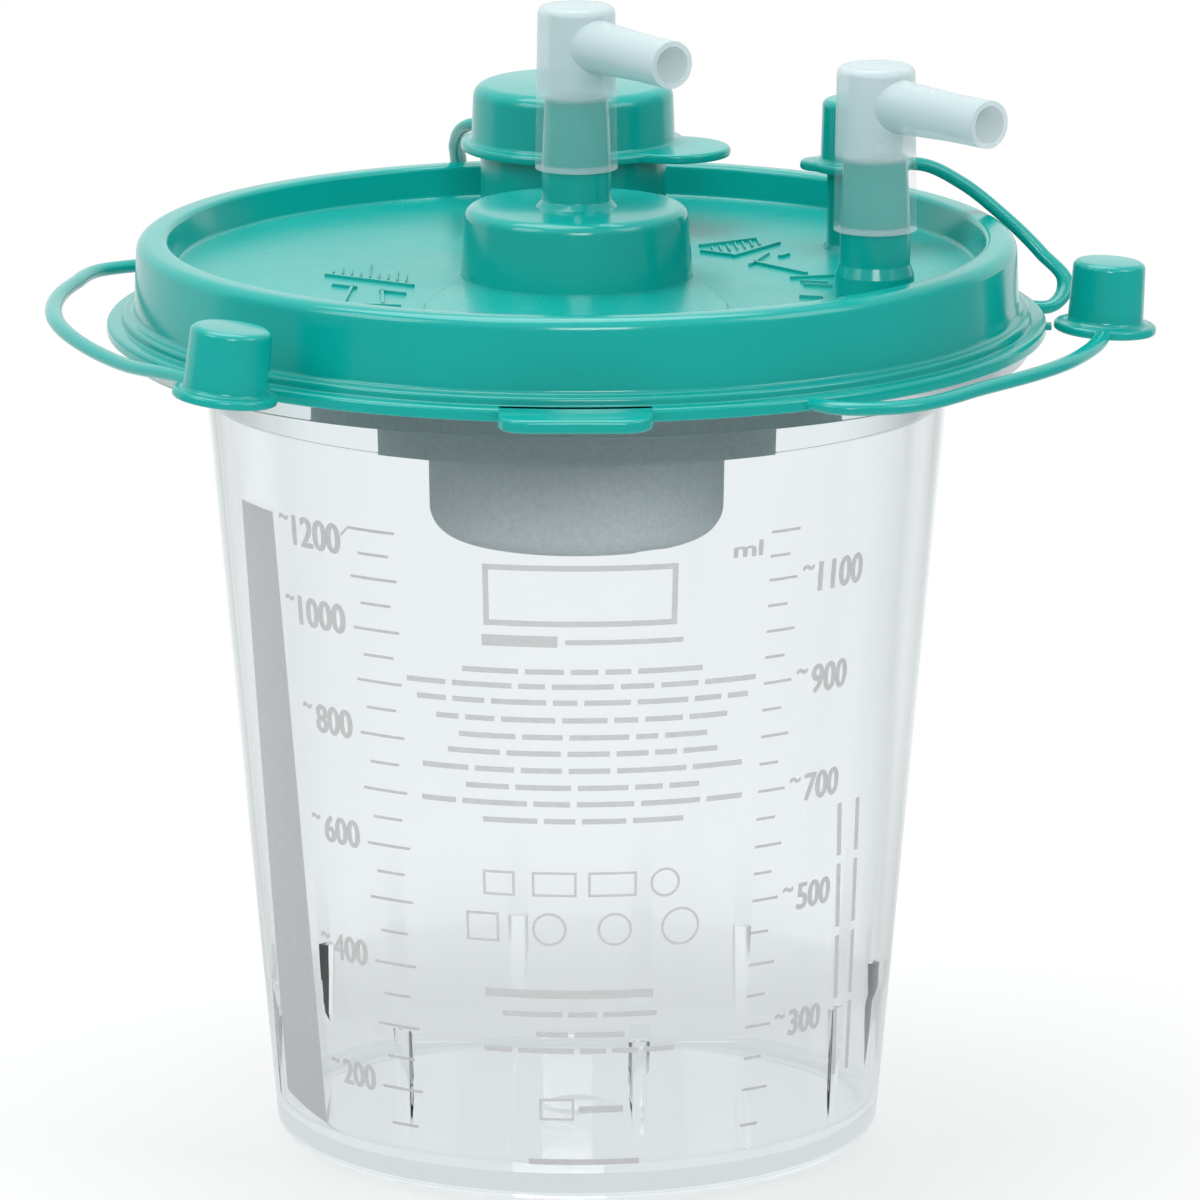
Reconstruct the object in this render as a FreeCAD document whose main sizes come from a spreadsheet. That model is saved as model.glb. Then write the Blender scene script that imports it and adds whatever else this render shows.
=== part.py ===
import FreeCAD, Part
import math
import os
import re
import Sketcher
from FreeCAD import Placement, Rotation, Vector

# Suction canister: a clear tapered jar, a press-on lid with four ports, a shut-off
# filter cup under the lid, two swivel elbows and four tethered caps.
# Frame: +Z up, origin where the jar's axis meets the table, -Y is the front.
# Lengths are in millimetres and angles in degrees.

doc = FreeCAD.newDocument("suction_canister")

SIZES = [
    # Jar: one thin moulding with an upright rim and an outer collar.
    ("base_radius", 52.1, "outer wall carried down to the table"),
    ("wall_slope", 0.0889, "growth of the radius for each mm of height"),
    ("jar_wall", 1.6, "wall thickness"),
    ("foot_corner", 3.5, "round between foot and wall"),
    ("foot_width", 7.6, "width of the foot ring"),
    ("push_up", 2.6, "rise of the underside at the centre"),
    ("floor_height", 4.8, "inside floor above the table"),
    ("floor_round", 4.5, "round between inside floor and wall"),
    ("gate_radius", 5.5, "ring round the moulding gate"),
    ("step_drop", 10.3, "outer step below the lid's seat"),
    ("step_depth", 0.3, "how far the wall stands out above the step"),
    ("collar_width", 4.5, "width of the collar beyond the rim"),
    ("collar_lip", 3.1, "lip of the collar below the lid's seat"),
    ("collar_top", 141.4, "seat of the lid"),
    ("collar_wall", 1.5, "thickness of collar and lip"),
    ("mouth_flare", 8.63, "outer face of the upright rim beyond the wall's line"),
    ("rim_wall", 1.4, "thickness of the upright rim"),
    ("rim_height", 13.4, "upright rim above the seat"),
    ("lug_radius", 1.75, "half-round stacking lugs"),
    ("lug_top", 28.6, "height of the lugs' flat tops"),
    ("lug_length", 20.3, "height of a lug"),
    ("lug_count", 8, "lugs round the wall"),
    ("lug_angle", 11.5, "first lug, from the front"),
    # Lid: one moulding. Heights are above the seat.
    ("rim_gap", 0.3, "clearance round the jar's rim"),
    ("lid_wall", 1.6, "thickness of the lid's floor"),
    ("well_height", 10.8, "top of the recessed floor"),
    ("well_inset", 2.6, "recessed floor inside the groove's inner face"),
    ("well_draft", 1.3, "growth of the well up to the crest"),
    ("crest_height", 16.4, "top of the lid's rim"),
    ("skirt_wall", 1.9, "lid outside the groove, at the crest"),
    ("crest_round", 2.2, "outer round of the crest"),
    ("skirt_flare", 0.5, "growth of the outer wall down to the ledge"),
    ("ledge_height", 3.8, "ledge at the foot of the outer wall"),
    ("ledge_width", 2.5, "edge of the ledge beyond the crest"),
    ("flange_width", 2.7, "edge of the flange beyond the ledge"),
    ("flange_thick", 2.3, "thickness of the flange"),
    ("plug_wall", 1.4, "skirt inside the jar's mouth"),
    ("plug_height", 1.6, "lower edge of that skirt, above the seat"),
    ("tab_reach", 8.8, "lift tab beyond the flange"),
    ("tab_width", 25.6, "width of the lift tab"),
    ("tab_round", 5.0, "rounds of the lift tab"),
    # Boss over the filter, with the vacuum port on it.
    ("boss_forward", 10.0, "boss and filter in front of the axis"),
    ("boss_radius", 19.9, "foot of the boss"),
    ("boss_top_radius", 19.0, "top of the boss before its round"),
    ("boss_height", 12.6, "boss above the floor"),
    ("boss_round", 2.0, "round at the boss's top"),
    ("boss_wall", 1.8, "wall of the boss"),
    ("pad_height", 0.8, "raised pad in front of the boss"),
    ("pad_width", 52.6, "width of the pad at the front"),
    ("pad_waist", 40.0, "width of the pad beside the boss"),
    ("pad_shoulder", 36.0, "where the pad reaches its full width, in front of the axis"),
    # Ports: the tapered tubes that the elbows and caps go on.
    ("port_radius", 5.95, "neck of each small port"),
    ("port_tip", 5.35, "radius at the tip"),
    ("port_bore", 3.45, "bore of each small port"),
    ("port_taper", 12.4, "tapered length inside an elbow"),
    ("vacuum_neck", 6.55, "straight neck above the boss"),
    ("patient_inset", 10.35, "patient port inside the recessed floor's edge"),
    ("patient_angle", 30.76, "patient port's direction, from the right to the front"),
    ("patient_foot", 6.65, "thicker foot of the patient port"),
    ("patient_foot_height", 4.5, "height of that foot"),
    ("patient_shoulder", 1.9, "cone between foot and neck"),
    ("patient_neck", 5.85, "straight neck below the elbow"),
    ("tandem_inset", 16.52, "tandem port inside the recessed floor's edge"),
    ("tandem_angle", 20.06, "tandem port's direction, from the right to the back"),
    ("tandem_height", 24.6, "tandem port above the floor"),
    ("foot_ring", 0.8, "small ring at the foot of a port"),
    ("spout_inset", 26.0, "pour spout inside the recessed floor's edge"),
    ("spout_left", 0.7, "pour spout to the left of the middle"),
    ("spout_radius", 16.3, "outer radius of the pour spout"),
    ("spout_wall", 1.7, "wall of the pour spout"),
    ("spout_height", 22.6, "pour spout above the floor"),
    # Filter cup under the boss.
    ("filter_radius", 25.95, "outer radius at the top"),
    ("filter_taper", 0.9, "loss of radius down to the bottom"),
    ("filter_depth", 42.0, "depth below the lid's floor"),
    ("filter_wall", 3.0, "wall of the porous cup"),
    ("filter_round", 5.0, "outer round at the bottom"),
    ("socket_depth", 7.5, "socket ring under the lid"),
    ("socket_wall", 1.6, "thickness of the socket ring"),
    ("seat_gap", 0.05, "clearance between cup and socket"),
    # Swivel elbows, two of one moulding.
    ("turn_gap", 0.08, "clearance of elbows and caps on their ports"),
    ("sleeve_radius", 7.05, "sleeve at its mouth"),
    ("sleeve_top_radius", 6.6, "sleeve at its closed top"),
    ("sleeve_length", 28.0, "height of the sleeve"),
    ("sleeve_round", 1.4, "round at the closed top"),
    ("sleeve_roof", 1.5, "thickness of the closed top"),
    ("chamber_radius", 4.6, "hollow above the port's tip"),
    ("arm_length", 28.8, "arm's end from the port's axis"),
    ("arm_root", 4.8, "arm's radius at the axis"),
    ("arm_tip", 4.05, "arm's radius at its end"),
    ("arm_land", 9.0, "straight length at the arm's end, for the tubing"),
    ("arm_bore", 3.15, "bore of the arm"),
    ("arm_below_top", 6.3, "arm's axis below the sleeve's top"),
    ("vacuum_aim", -56.0, "arm's direction from +X"),
    ("patient_aim", -50.7, "arm's direction from +X"),
    # Caps.
    ("spout_cap_radius", 17.9, "pour spout cap at its flange"),
    ("spout_cap_draft", 0.4, "loss of radius up to its top"),
    ("spout_cap_height", 11.6, "height of the pour spout cap"),
    ("spout_cap_roof", 1.4, "thickness of its top"),
    ("spout_cap_flange", 19.7, "radius of its flange"),
    ("spout_cap_grip", 28.9, "end of its thumb tab from the axis"),
    ("spout_cap_grip_radius", 9.8, "round of the thumb tab"),
    ("spout_cap_grip_turn", -21.5, "thumb tab's direction from +X"),
    ("spout_cap_space", 0.7, "space between spout and the cap's top"),
    ("cap_flange_thick", 1.6, "thickness of every cap's flange"),
    ("cap_round", 1.2, "round at the small caps' tops"),
    ("cap_roof", 1.2, "thickness of the small caps' tops"),
    ("cap_height", 12.3, "height of the small caps"),
    ("cap_flange", 8.8, "radius of the small caps' flanges"),
    ("wide_cap_radius", 7.1, "cap for a port's neck, at its flange"),
    ("slim_cap_radius", 6.5, "cap for a port's tip, at its flange"),
    ("cap_draft", 0.3, "loss of radius up to a small cap's top"),
    ("tandem_grip", 10.6, "end of the tandem cap's tab from its axis"),
    ("tandem_grip_radius", 3.2, "round of that tab"),
    ("cap_beyond", 10.0, "hanging caps' axes beyond the flange"),
    ("left_cap_angle", 230.2, "direction of the left hanging cap from +X"),
    ("right_cap_angle", -2.3, "direction of the right hanging cap from +X"),
    ("left_cap_tilt", 6.5, "lean of the left hanging cap to the right"),
    ("right_cap_tilt", 3.5, "lean of the right hanging cap to the right"),
    ("left_cap_lift", 1.8, "left hanging cap above the flange's underside"),
    ("right_cap_lift", 0.3, "right hanging cap above the flange's underside"),
    ("strap_radius", 1.25, "half the thickness of every strap"),
    ("strap_step", 1.0, "unit of the strap places below"),
    ("nub_width", 2.0, "break-off nubs between flange and hanging caps"),
    ("nub_gap", 0.3, "space between a nub and its cap"),
]

sheet = doc.addObject("Spreadsheet::Sheet", "Sizes")
for row, (alias, number, meaning) in enumerate(SIZES, start=1):
    sheet.set(f"A{row}", alias)
    sheet.set(f"B{row}", str(number))
    sheet.set(f"C{row}", meaning)
    sheet.setAlias(f"B{row}", alias)
doc.recompute()

ALIASES = {alias for alias, number, meaning in SIZES}
NAME = re.compile(r"[a-z][a-z_0-9]*")

# Heights and radii that follow from the jar's mouth, so that the lid always fits it.
FOLLOWS = {
    "step_height": "(collar_top - step_drop)",
    "collar_bottom": "(collar_top - collar_lip)",
    "foot_radius": "(base_radius - foot_width)",
    "rim_radius": "(base_radius + wall_slope * collar_top + mouth_flare)",
    "collar_radius": "(rim_radius + collar_width)",
    "well_radius": "(rim_radius - rim_wall - rim_gap - well_inset)",
    "crest_radius": "(rim_radius + rim_gap + skirt_wall)",
    "ledge_radius": "(crest_radius + ledge_width)",
    "flange_radius": "(ledge_radius + flange_width)",
    "patient_x": "((well_radius - patient_inset) * cos(patient_angle))",
    "patient_forward": "((well_radius - patient_inset) * sin(patient_angle))",
    "tandem_x": "((well_radius - tandem_inset) * cos(tandem_angle))",
    "tandem_back": "((well_radius - tandem_inset) * sin(tandem_angle))",
    "spout_back": "(well_radius - spout_inset)",
}

# Heights and places that several pieces share, written as formulas of the sheet.
WELL = "(collar_top + well_height)"
UNDER_LID = "(collar_top + well_height - lid_wall)"
CREST = "(collar_top + crest_height)"
FLANGE_MID = "(collar_top + flange_thick / 2)"
BOSS_TOP = f"({WELL} + boss_height)"
VACUUM_MOUTH = f"({BOSS_TOP} + vacuum_neck)"
PATIENT_SHOULDER = f"({WELL} + patient_foot_height)"
PATIENT_NECK = f"({PATIENT_SHOULDER} + patient_shoulder)"
PATIENT_MOUTH = f"({PATIENT_NECK} + patient_neck)"
TANDEM_TOP = f"({WELL} + tandem_height)"
SPOUT_TOP = f"({WELL} + spout_height)"
SPOUT_CAP_FOOT = f"({SPOUT_TOP} + spout_cap_space + spout_cap_roof - spout_cap_height)"
TANDEM_CAP_FOOT = f"({TANDEM_TOP} + 0.4 + cap_roof - cap_height)"
TO_CHANNEL_OUT = "(rim_radius + rim_gap)"
TO_CHANNEL_IN = "(rim_radius - rim_wall - rim_gap)"


def spelled(formula):
    """The formula with every name of FOLLOWS written out in names of the sheet."""
    while any(name in FOLLOWS for name in NAME.findall(formula)):
        formula = NAME.sub(lambda m: FOLLOWS.get(m[0], m[0]), formula)
    return formula


def tied(formula):
    """The formula with each name of the sheet written as that cell."""
    return NAME.sub(lambda m: "Sizes." + m[0] if m[0] in ALIASES else m[0], spelled(formula))


def size(formula):
    """The formula's value as a plain number."""
    return float(sheet.evalExpression(spelled(formula)))


def tie(item, **formulas):
    """Bind properties of an object to formulas; x, y and z are its place."""
    for name, formula in formulas.items():
        path = f"Placement.Base.{name}" if name in ("x", "y", "z") else name
        item.setExpression(path, tied(formula))
    return item


def new_body(label):
    body = doc.addObject("PartDesign::Body", label)
    body.Label = label
    return body


def new_sketch(body, name, role="XZ_Plane"):
    sketch = body.newObject("Sketcher::SketchObject", name)
    plane = [p for p in body.Origin.OriginFeatures if p.Role == role][0]
    sketch.AttachmentSupport = [(plane, "")]
    sketch.MapMode = "FlatFace"
    return sketch


def hold(sketch, line, across, up):
    """Hold the start of a line at two formulas from the sketch's origin."""
    for kind, axis, formula in (("DistanceX", -2, across), ("DistanceY", -1, up)):
        if formula == "0":
            sketch.addConstraint(Sketcher.Constraint("PointOnObject", line, 1, axis))
            continue
        number = sketch.addConstraint(Sketcher.Constraint(kind, -1, 1, line, 1, size(formula)))
        sketch.setExpression(f"Constraints[{number}]", tied(formula))


def draw_outline(sketch, corners):
    """A closed run of straight lines; every corner is a pair of formulas."""
    points = [Vector(size(a), size(b), 0) for a, b in corners]
    count = len(points)
    for i in range(count):
        sketch.addGeometry(Part.LineSegment(points[i], points[(i + 1) % count]), False)
    for i in range(count):
        sketch.addConstraint(Sketcher.Constraint("Coincident", i, 2, (i + 1) % count, 1))
    for i, (across, up) in enumerate(corners):
        hold(sketch, i, across, up)


def turned(body, name, corners, kind="PartDesign::Revolution"):
    """Turn an outline of (radius, height) corners about the body's Z axis."""
    sketch = new_sketch(body, name + "_outline")
    draw_outline(sketch, corners)
    feature = body.newObject(kind, name)
    feature.Profile = sketch
    feature.ReferenceAxis = (sketch, ["V_Axis"])
    feature.Angle = 360
    doc.recompute()
    return feature


def ring_edges(shape, places, centre=("0", "0")):
    """Names of the round edges with these (radius, height) places about an upright axis."""
    wanted = [(size(r), size(h)) for r, h in places]
    x, y = size(centre[0]), size(centre[1])
    found = []
    for i, edge in enumerate(shape.Edges, start=1):
        curve = edge.Curve
        if not isinstance(curve, Part.Circle) or abs(curve.Axis.z) < 0.99:
            continue
        if math.hypot(curve.Center.x - x, curve.Center.y - y) > 0.01:
            continue
        if any(abs(curve.Radius - r) < 0.01 and abs(curve.Center.z - h) < 0.01 for r, h in wanted):
            found.append(f"Edge{i}")
    return found


def round_rings(body, name, places, radius, centre=("0", "0")):
    base = body.Tip
    edges = ring_edges(base.Shape, places, centre)
    feature = body.newObject("PartDesign::Fillet", name)
    feature.Base = (base, edges)
    tie(feature, Radius=radius)
    doc.recompute()
    return feature


def add_shape(body, kind, name, **formulas):
    """One additive or subtractive primitive of the body, bound to the sheet."""
    feature = body.newObject("PartDesign::" + kind, name)
    tie(feature, **formulas)
    doc.recompute()
    return feature


def finished(label, solid, *more):
    """Join what one mould makes in one piece, and give the piece its name."""
    if not more:
        solid.Label = label
        return solid
    joined = doc.addObject("Part::MultiFuse", label)
    joined.Label = label
    joined.Shapes = [solid, *more]
    joined.Refine = True
    doc.recompute()
    return joined


def plain_feature(name, shape):
    feature = doc.addObject("Part::Feature", name)
    feature.Shape = shape
    return feature


# Straps: round bars whose centre line is a chain of arcs, each tangent to the one before.

def next_arc(start, direction, end):
    """The arc's plane normal, centre, angle and end direction; no angle means straight."""
    chord = end - start
    length = chord.Length
    along = chord / length
    cosine = max(-1.0, min(1.0, direction.dot(along)))
    half = math.acos(cosine)
    if half < 0.002:
        return None, None, 0.0, along
    normal = direction.cross(along).normalize()
    radius = length / 2 / math.sin(half)
    centre = start + normal.cross(direction) * radius
    return normal, centre, 2 * half, along * (2 * cosine) - direction


def strap_pieces(points, direction, radius):
    """One solid for each arc of the centre line through the points."""
    pieces = []
    for start, end in zip(points, points[1:]):
        disc = Part.Face(Part.Wire(Part.makeCircle(radius, start, direction)))
        normal, centre, angle, direction = next_arc(start, direction, end)
        if angle == 0.0:
            pieces.append(disc.extrude(end - start))
            direction = (end - start).normalize()
        else:
            pieces.append(disc.revolve(centre, normal, math.degrees(angle)))
    return pieces


def joined_solid(pieces):
    solid = pieces[0]
    if len(pieces) > 1:
        solid = pieces[0].multiFuse(pieces[1:])
    return solid.removeSplitter()


def aim(angle):
    turn = math.radians(angle)
    return Vector(math.cos(turn), math.sin(turn), 0)


# Where the jar's wall is, at any height.

def wall_at(height, inset="0"):
    return f"(base_radius + wall_slope * {height} - {inset})"


def make_canister():
    """The jar: outer form less a core, and the core has a groove for each lug."""
    flange_under = "(collar_top - collar_wall)"
    step_out = "(0 - step_depth)"
    outer = new_body("jar_outer")
    turned(outer, "outer_form", [
        ("0", "push_up"), ("foot_radius - 1.4", "push_up * 0.6"), ("foot_radius", "0"),
        ("base_radius", "0"),
        (wall_at("step_height"), "step_height"),
        (wall_at("step_height", step_out), "step_height"),
        (wall_at(flange_under, step_out), flange_under),
        ("collar_radius - collar_wall", flange_under),
        ("collar_radius - collar_wall", "collar_bottom"),
        ("collar_radius", "collar_bottom"), ("collar_radius", "collar_top"),
        ("rim_radius", "collar_top"), ("rim_radius", "collar_top + rim_height"),
        ("0", "collar_top + rim_height"),
    ])
    round_rings(outer, "foot_round", [("base_radius", "0")], "foot_corner")
    core = new_body("jar_core")
    turned(core, "core_form", [
        ("0", "floor_height"),
        (wall_at("floor_height", "jar_wall"), "floor_height"),
        (wall_at("collar_top", "jar_wall"), "collar_top"),
        ("rim_radius - rim_wall", "collar_top"),
        ("rim_radius - rim_wall", "collar_top + rim_height + 1"),
        ("0", "collar_top + rim_height + 1"),
    ])
    round_rings(core, "floor_corner", [(wall_at("floor_height", "jar_wall"), "floor_height")],
                "floor_round")
    # A lug's middle is on the inside of the wall at the height of the lug's top.
    lug_middle = wall_at("lug_top", "jar_wall")
    grooves = []
    for i in range(int(size("lug_count"))):
        lug = doc.addObject("Part::Cylinder", f"lug_{i + 1}")
        turn = f"(lug_angle + {i} * 360 / lug_count)"
        tie(lug, Radius="lug_radius", Height="lug_length",
            x=f"{lug_middle} * sin({turn})", y=f"0 - {lug_middle} * cos({turn})",
            z="lug_top - lug_length")
        grooves.append(lug)
    gate = doc.addObject("Part::Torus", "gate_ring")
    tie(gate, Radius1="gate_radius", Radius2="0.5", z="floor_height")
    lugs = doc.addObject("Part::MultiFuse", "lugs")
    lugs.Shapes = grooves + [gate]
    grooved = doc.addObject("Part::Cut", "grooved_core")
    grooved.Base = core
    grooved.Tool = lugs
    jar = doc.addObject("Part::Cut", "canister")
    jar.Base = outer
    jar.Tool = grooved
    doc.recompute()
    return finished("canister", jar)


def make_port(body, name, x, y, foot, mouth):
    """One small port: straight neck up to the mouth of its elbow, then the taper."""
    add_shape(body, "AdditiveCylinder", name + "_neck", Radius="port_radius",
              Height=f"{mouth} - {foot}", x=x, y=y, z=foot)
    add_shape(body, "AdditiveCone", name + "_taper", Radius1="port_radius", Radius2="port_tip",
              Height="port_taper", x=x, y=y, z=mouth)
    add_shape(body, "AdditiveCone", name + "_ring", Radius1="port_radius + foot_ring",
              Radius2="port_radius", Height="foot_ring * 1.4", x=x, y=y, z=foot)


def make_lid(stubs):
    body = new_body("lid_moulding")
    turned(body, "disc", [
        ("0", WELL), ("well_radius", WELL), ("well_radius + well_draft", CREST),
        ("crest_radius", CREST),
        ("crest_radius + skirt_flare", "collar_top + ledge_height"),
        ("ledge_radius", "collar_top + ledge_height"),
        ("ledge_radius", "collar_top + flange_thick"),
        ("flange_radius", "collar_top + flange_thick"), ("flange_radius", "collar_top"),
        (TO_CHANNEL_OUT, "collar_top"), (TO_CHANNEL_OUT, "collar_top + rim_height + 1"),
        (TO_CHANNEL_IN, "collar_top + rim_height + 1"),
        (TO_CHANNEL_IN, "collar_top + plug_height"),
        (f"{TO_CHANNEL_IN} - plug_wall", "collar_top + plug_height"),
        (f"{TO_CHANNEL_IN} - plug_wall", UNDER_LID), ("0", UNDER_LID),
    ])
    round_rings(body, "crest_outside", [("crest_radius", CREST)], "crest_round")
    round_rings(body, "crest_inside", [("well_radius + well_draft", CREST)], "crest_round * 0.5")
    round_rings(body, "cove", [("crest_radius + skirt_flare", "collar_top + ledge_height"),
                               ("well_radius", WELL)], "0.9")
    round_rings(body, "ledge_edges", [("ledge_radius", "collar_top + ledge_height"),
                                      ("flange_radius", "collar_top + flange_thick")], "0.7")
    # Lift tab at the front, in the plane of the flange.
    tab = new_sketch(body, "tab_outline", "XY_Plane")
    half = "tab_width / 2"
    draw_outline(tab, [
        (f"0 - {half}", "0 - flange_radius - tab_reach"), (half, "0 - flange_radius - tab_reach"),
        (half, "0 - ledge_radius + 1"), (f"0 - {half}", "0 - ledge_radius + 1")])
    tab_pad = body.newObject("PartDesign::Pad", "tab")
    tab_pad.Profile = tab
    tie(tab_pad, Length="flange_thick")
    tab.AttachmentOffset = Placement(Vector(0, 0, 0), Rotation())
    tab.setExpression("AttachmentOffset.Base.z", tied("collar_top"))
    doc.recompute()
    corners = []
    for i, edge in enumerate(tab_pad.Shape.Edges, start=1):
        first, last = edge.Vertexes[0].Point, edge.Vertexes[-1].Point
        upright = abs(first.x - last.x) < 0.01 and abs(first.y - last.y) < 0.01
        if upright and first.y < -size("flange_radius") - size("tab_reach") + 0.1:
            corners.append(f"Edge{i}")
    tab_round = body.newObject("PartDesign::Fillet", "tab_rounds")
    tab_round.Base = (tab_pad, corners)
    tie(tab_round, Radius="tab_round")
    doc.recompute()
    # Pad between the boss and the front rim.
    pad = new_sketch(body, "pad_outline", "XY_Plane")
    wide = "pad_width / 2"
    waist = "pad_waist / 2"
    draw_outline(pad, [
        (f"0 - {waist}", "0 - boss_forward"), (f"0 - {wide}", "0 - pad_shoulder"),
        (f"0 - {wide}", "0 - sqrt(well_radius ^ 2 - pad_width ^ 2 / 4)"),
        ("0", "0 - well_radius - 0.6"),
        (wide, "0 - sqrt(well_radius ^ 2 - pad_width ^ 2 / 4)"),
        (wide, "0 - pad_shoulder"), (waist, "0 - boss_forward")])
    pad.setExpression("AttachmentOffset.Base.z", tied(f"{WELL} - lid_wall / 2"))
    raised = body.newObject("PartDesign::Pad", "front_pad")
    raised.Profile = pad
    tie(raised, Length="pad_height + lid_wall / 2")
    doc.recompute()
    # Boss, hollow below, and the filter's socket under it.
    middle = "0 - boss_forward"
    add_shape(body, "AdditiveCone", "boss", Radius1="boss_radius", Radius2="boss_top_radius",
              Height="boss_height", x="0", y=middle, z=WELL)
    round_rings(body, "boss_edge", [("boss_top_radius", BOSS_TOP)], "boss_round", ("0", middle))
    add_shape(body, "AdditiveCylinder", "socket",
              Radius="filter_radius - filter_wall - seat_gap", Height="socket_depth + 0.5",
              x="0", y=middle, z=f"{UNDER_LID} - socket_depth")
    make_port(body, "vacuum_port", "0", middle, BOSS_TOP, VACUUM_MOUTH)
    add_shape(body, "SubtractiveCylinder", "socket_hollow",
              Radius="filter_radius - filter_wall - seat_gap - socket_wall", Height="socket_depth",
              x="0", y=middle, z=f"{UNDER_LID} - socket_depth")
    add_shape(body, "SubtractiveCone", "boss_hollow", Radius1="boss_radius - boss_wall",
              Radius2="boss_top_radius - boss_wall", Height="boss_height + lid_wall - boss_wall",
              x="0", y=middle, z=UNDER_LID)
    add_shape(body, "SubtractiveCylinder", "vacuum_bore", Radius="port_bore",
              Height="vacuum_neck + port_taper + 2 * boss_wall", x="0", y=middle,
              z=f"{BOSS_TOP} - 1.5 * boss_wall")
    # Patient port: thick foot, shoulder, then the port itself.
    at = {"x": "patient_x", "y": "0 - patient_forward"}
    add_shape(body, "AdditiveCylinder", "patient_port_foot", Radius="patient_foot",
              Height="patient_foot_height", z=WELL, **at)
    add_shape(body, "AdditiveCone", "patient_port_shoulder", Radius1="patient_foot",
              Radius2="port_radius", Height="patient_shoulder", z=PATIENT_SHOULDER, **at)
    add_shape(body, "AdditiveCylinder", "patient_port_neck", Radius="port_radius",
              Height="patient_neck", z=PATIENT_NECK, **at)
    add_shape(body, "AdditiveCone", "patient_port_taper", Radius1="port_radius",
              Radius2="port_tip", Height="port_taper", z=PATIENT_MOUTH, **at)
    add_shape(body, "SubtractiveCylinder", "patient_bore", Radius="port_bore",
              Height=f"{PATIENT_MOUTH} + port_taper - {UNDER_LID} + 1", z=f"{UNDER_LID} - 0.5", **at)
    # Tandem port, straight.
    at = {"x": "tandem_x", "y": "tandem_back"}
    add_shape(body, "AdditiveCylinder", "tandem_port", Radius="port_radius",
              Height="tandem_height", z=WELL, **at)
    add_shape(body, "AdditiveCone", "tandem_ring", Radius1="port_radius + foot_ring",
              Radius2="port_radius", Height="foot_ring * 1.4", z=WELL, **at)
    add_shape(body, "SubtractiveCylinder", "tandem_bore", Radius="port_bore",
              Height="tandem_height + lid_wall + 1", z=f"{UNDER_LID} - 0.5", **at)
    # Pour spout, the wide one at the back.
    at = {"x": "0 - spout_left", "y": "spout_back"}
    add_shape(body, "AdditiveCylinder", "pour_spout", Radius="spout_radius",
              Height="spout_height", z=WELL, **at)
    add_shape(body, "SubtractiveCylinder", "spout_bore", Radius="spout_radius - spout_wall",
              Height="spout_height + lid_wall + 1", z=f"{UNDER_LID} - 0.5", **at)
    # Break-off nubs in front of the hanging caps.
    for name, side, above in (("left_nub", "left", "left_cap_lift * 0.65"),
                              ("right_nub", "right", "right_cap_lift + 0.2")):
        angle = side + "_cap_angle"
        nub = add_shape(body, "AdditiveBox", name, Length="cap_beyond - cap_flange - nub_gap + 1",
                        Width="nub_width", Height="cap_flange_thick * 0.7")
        nub.AttachmentOffset = Placement()
        tie(nub, x=f"(flange_radius - 1) * cos({angle}) + nub_width / 2 * sin({angle})",
            y=f"(flange_radius - 1) * sin({angle}) - nub_width / 2 * cos({angle})",
            z=f"collar_top + {above}")
        nub.Placement.Rotation = Rotation(Vector(0, 0, 1), size(angle))
        nub.setExpression("Placement.Rotation.Angle", tied(angle))
        doc.recompute()
    return finished("lid", body, *stubs)


def make_filter():
    """Porous cup that hangs from the socket under the boss."""
    body = new_body("filter_cup")
    low = "(filter_radius - filter_taper)"
    turned(body, "cup", [
        ("0", "0"), (low, "0"), ("filter_radius", "filter_depth"),
        ("filter_radius - filter_wall", "filter_depth"),
        ("filter_radius - filter_wall", "filter_depth - socket_depth - 1"),
        (f"{low} - filter_wall", "filter_wall"), ("0", "filter_wall")])
    round_rings(body, "bottom_edge", [(low, "0")], "filter_round")
    round_rings(body, "bottom_inside", [(f"{low} - filter_wall", "filter_wall")], "filter_round / 2")
    tie(body, x="0", y="0 - boss_forward", z=f"{UNDER_LID} - filter_depth")
    doc.recompute()
    return body


def make_elbow(label, x, y, mouth, angle):
    """Swivel elbow: tapered sleeve with a closed top and a level arm."""
    body = new_body(label)
    turned(body, "sleeve", [
        ("0", "0"), ("sleeve_radius", "0"), ("sleeve_top_radius", "sleeve_length"),
        ("0", "sleeve_length")])
    round_rings(body, "top_edge", [("sleeve_top_radius", "sleeve_length")], "sleeve_round")
    arm = add_shape(body, "AdditiveCone", "arm", Radius1="arm_root", Radius2="arm_tip",
                    Height="arm_length - arm_land", z="sleeve_length - arm_below_top")
    arm.Placement.Rotation = Rotation(Vector(0, 1, 0), 90)
    land = add_shape(body, "AdditiveCylinder", "tubing_land", Radius="arm_tip", Height="arm_land",
                     x="arm_length - arm_land", z="sleeve_length - arm_below_top")
    land.Placement.Rotation = Rotation(Vector(0, 1, 0), 90)
    doc.recompute()
    sketch = new_sketch(body, "hollow_outline")
    draw_outline(sketch, [
        ("0", "0"), ("port_radius + turn_gap", "0"),
        ("port_tip + turn_gap", "port_taper"), ("port_tip + turn_gap", "port_taper + 0.3"),
        ("chamber_radius", "port_taper + 0.3"), ("chamber_radius", "sleeve_length - sleeve_roof"),
        ("0", "sleeve_length - sleeve_roof")])
    hollow = body.newObject("PartDesign::Groove", "hollow")
    hollow.Profile = sketch
    hollow.ReferenceAxis = (sketch, ["V_Axis"])
    hollow.Angle = 360
    doc.recompute()
    bore = add_shape(body, "SubtractiveCylinder", "arm_bore", Radius="arm_bore",
                     Height="arm_length + 1", z="sleeve_length - arm_below_top")
    bore.Placement.Rotation = Rotation(Vector(0, 1, 0), 90)
    doc.recompute()
    body.Placement.Rotation = Rotation(Vector(0, 0, 1), size(angle))
    tie(body, x=x, y=y, z=mouth)
    body.setExpression("Placement.Rotation.Angle", tied(angle))
    doc.recompute()
    return body


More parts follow.
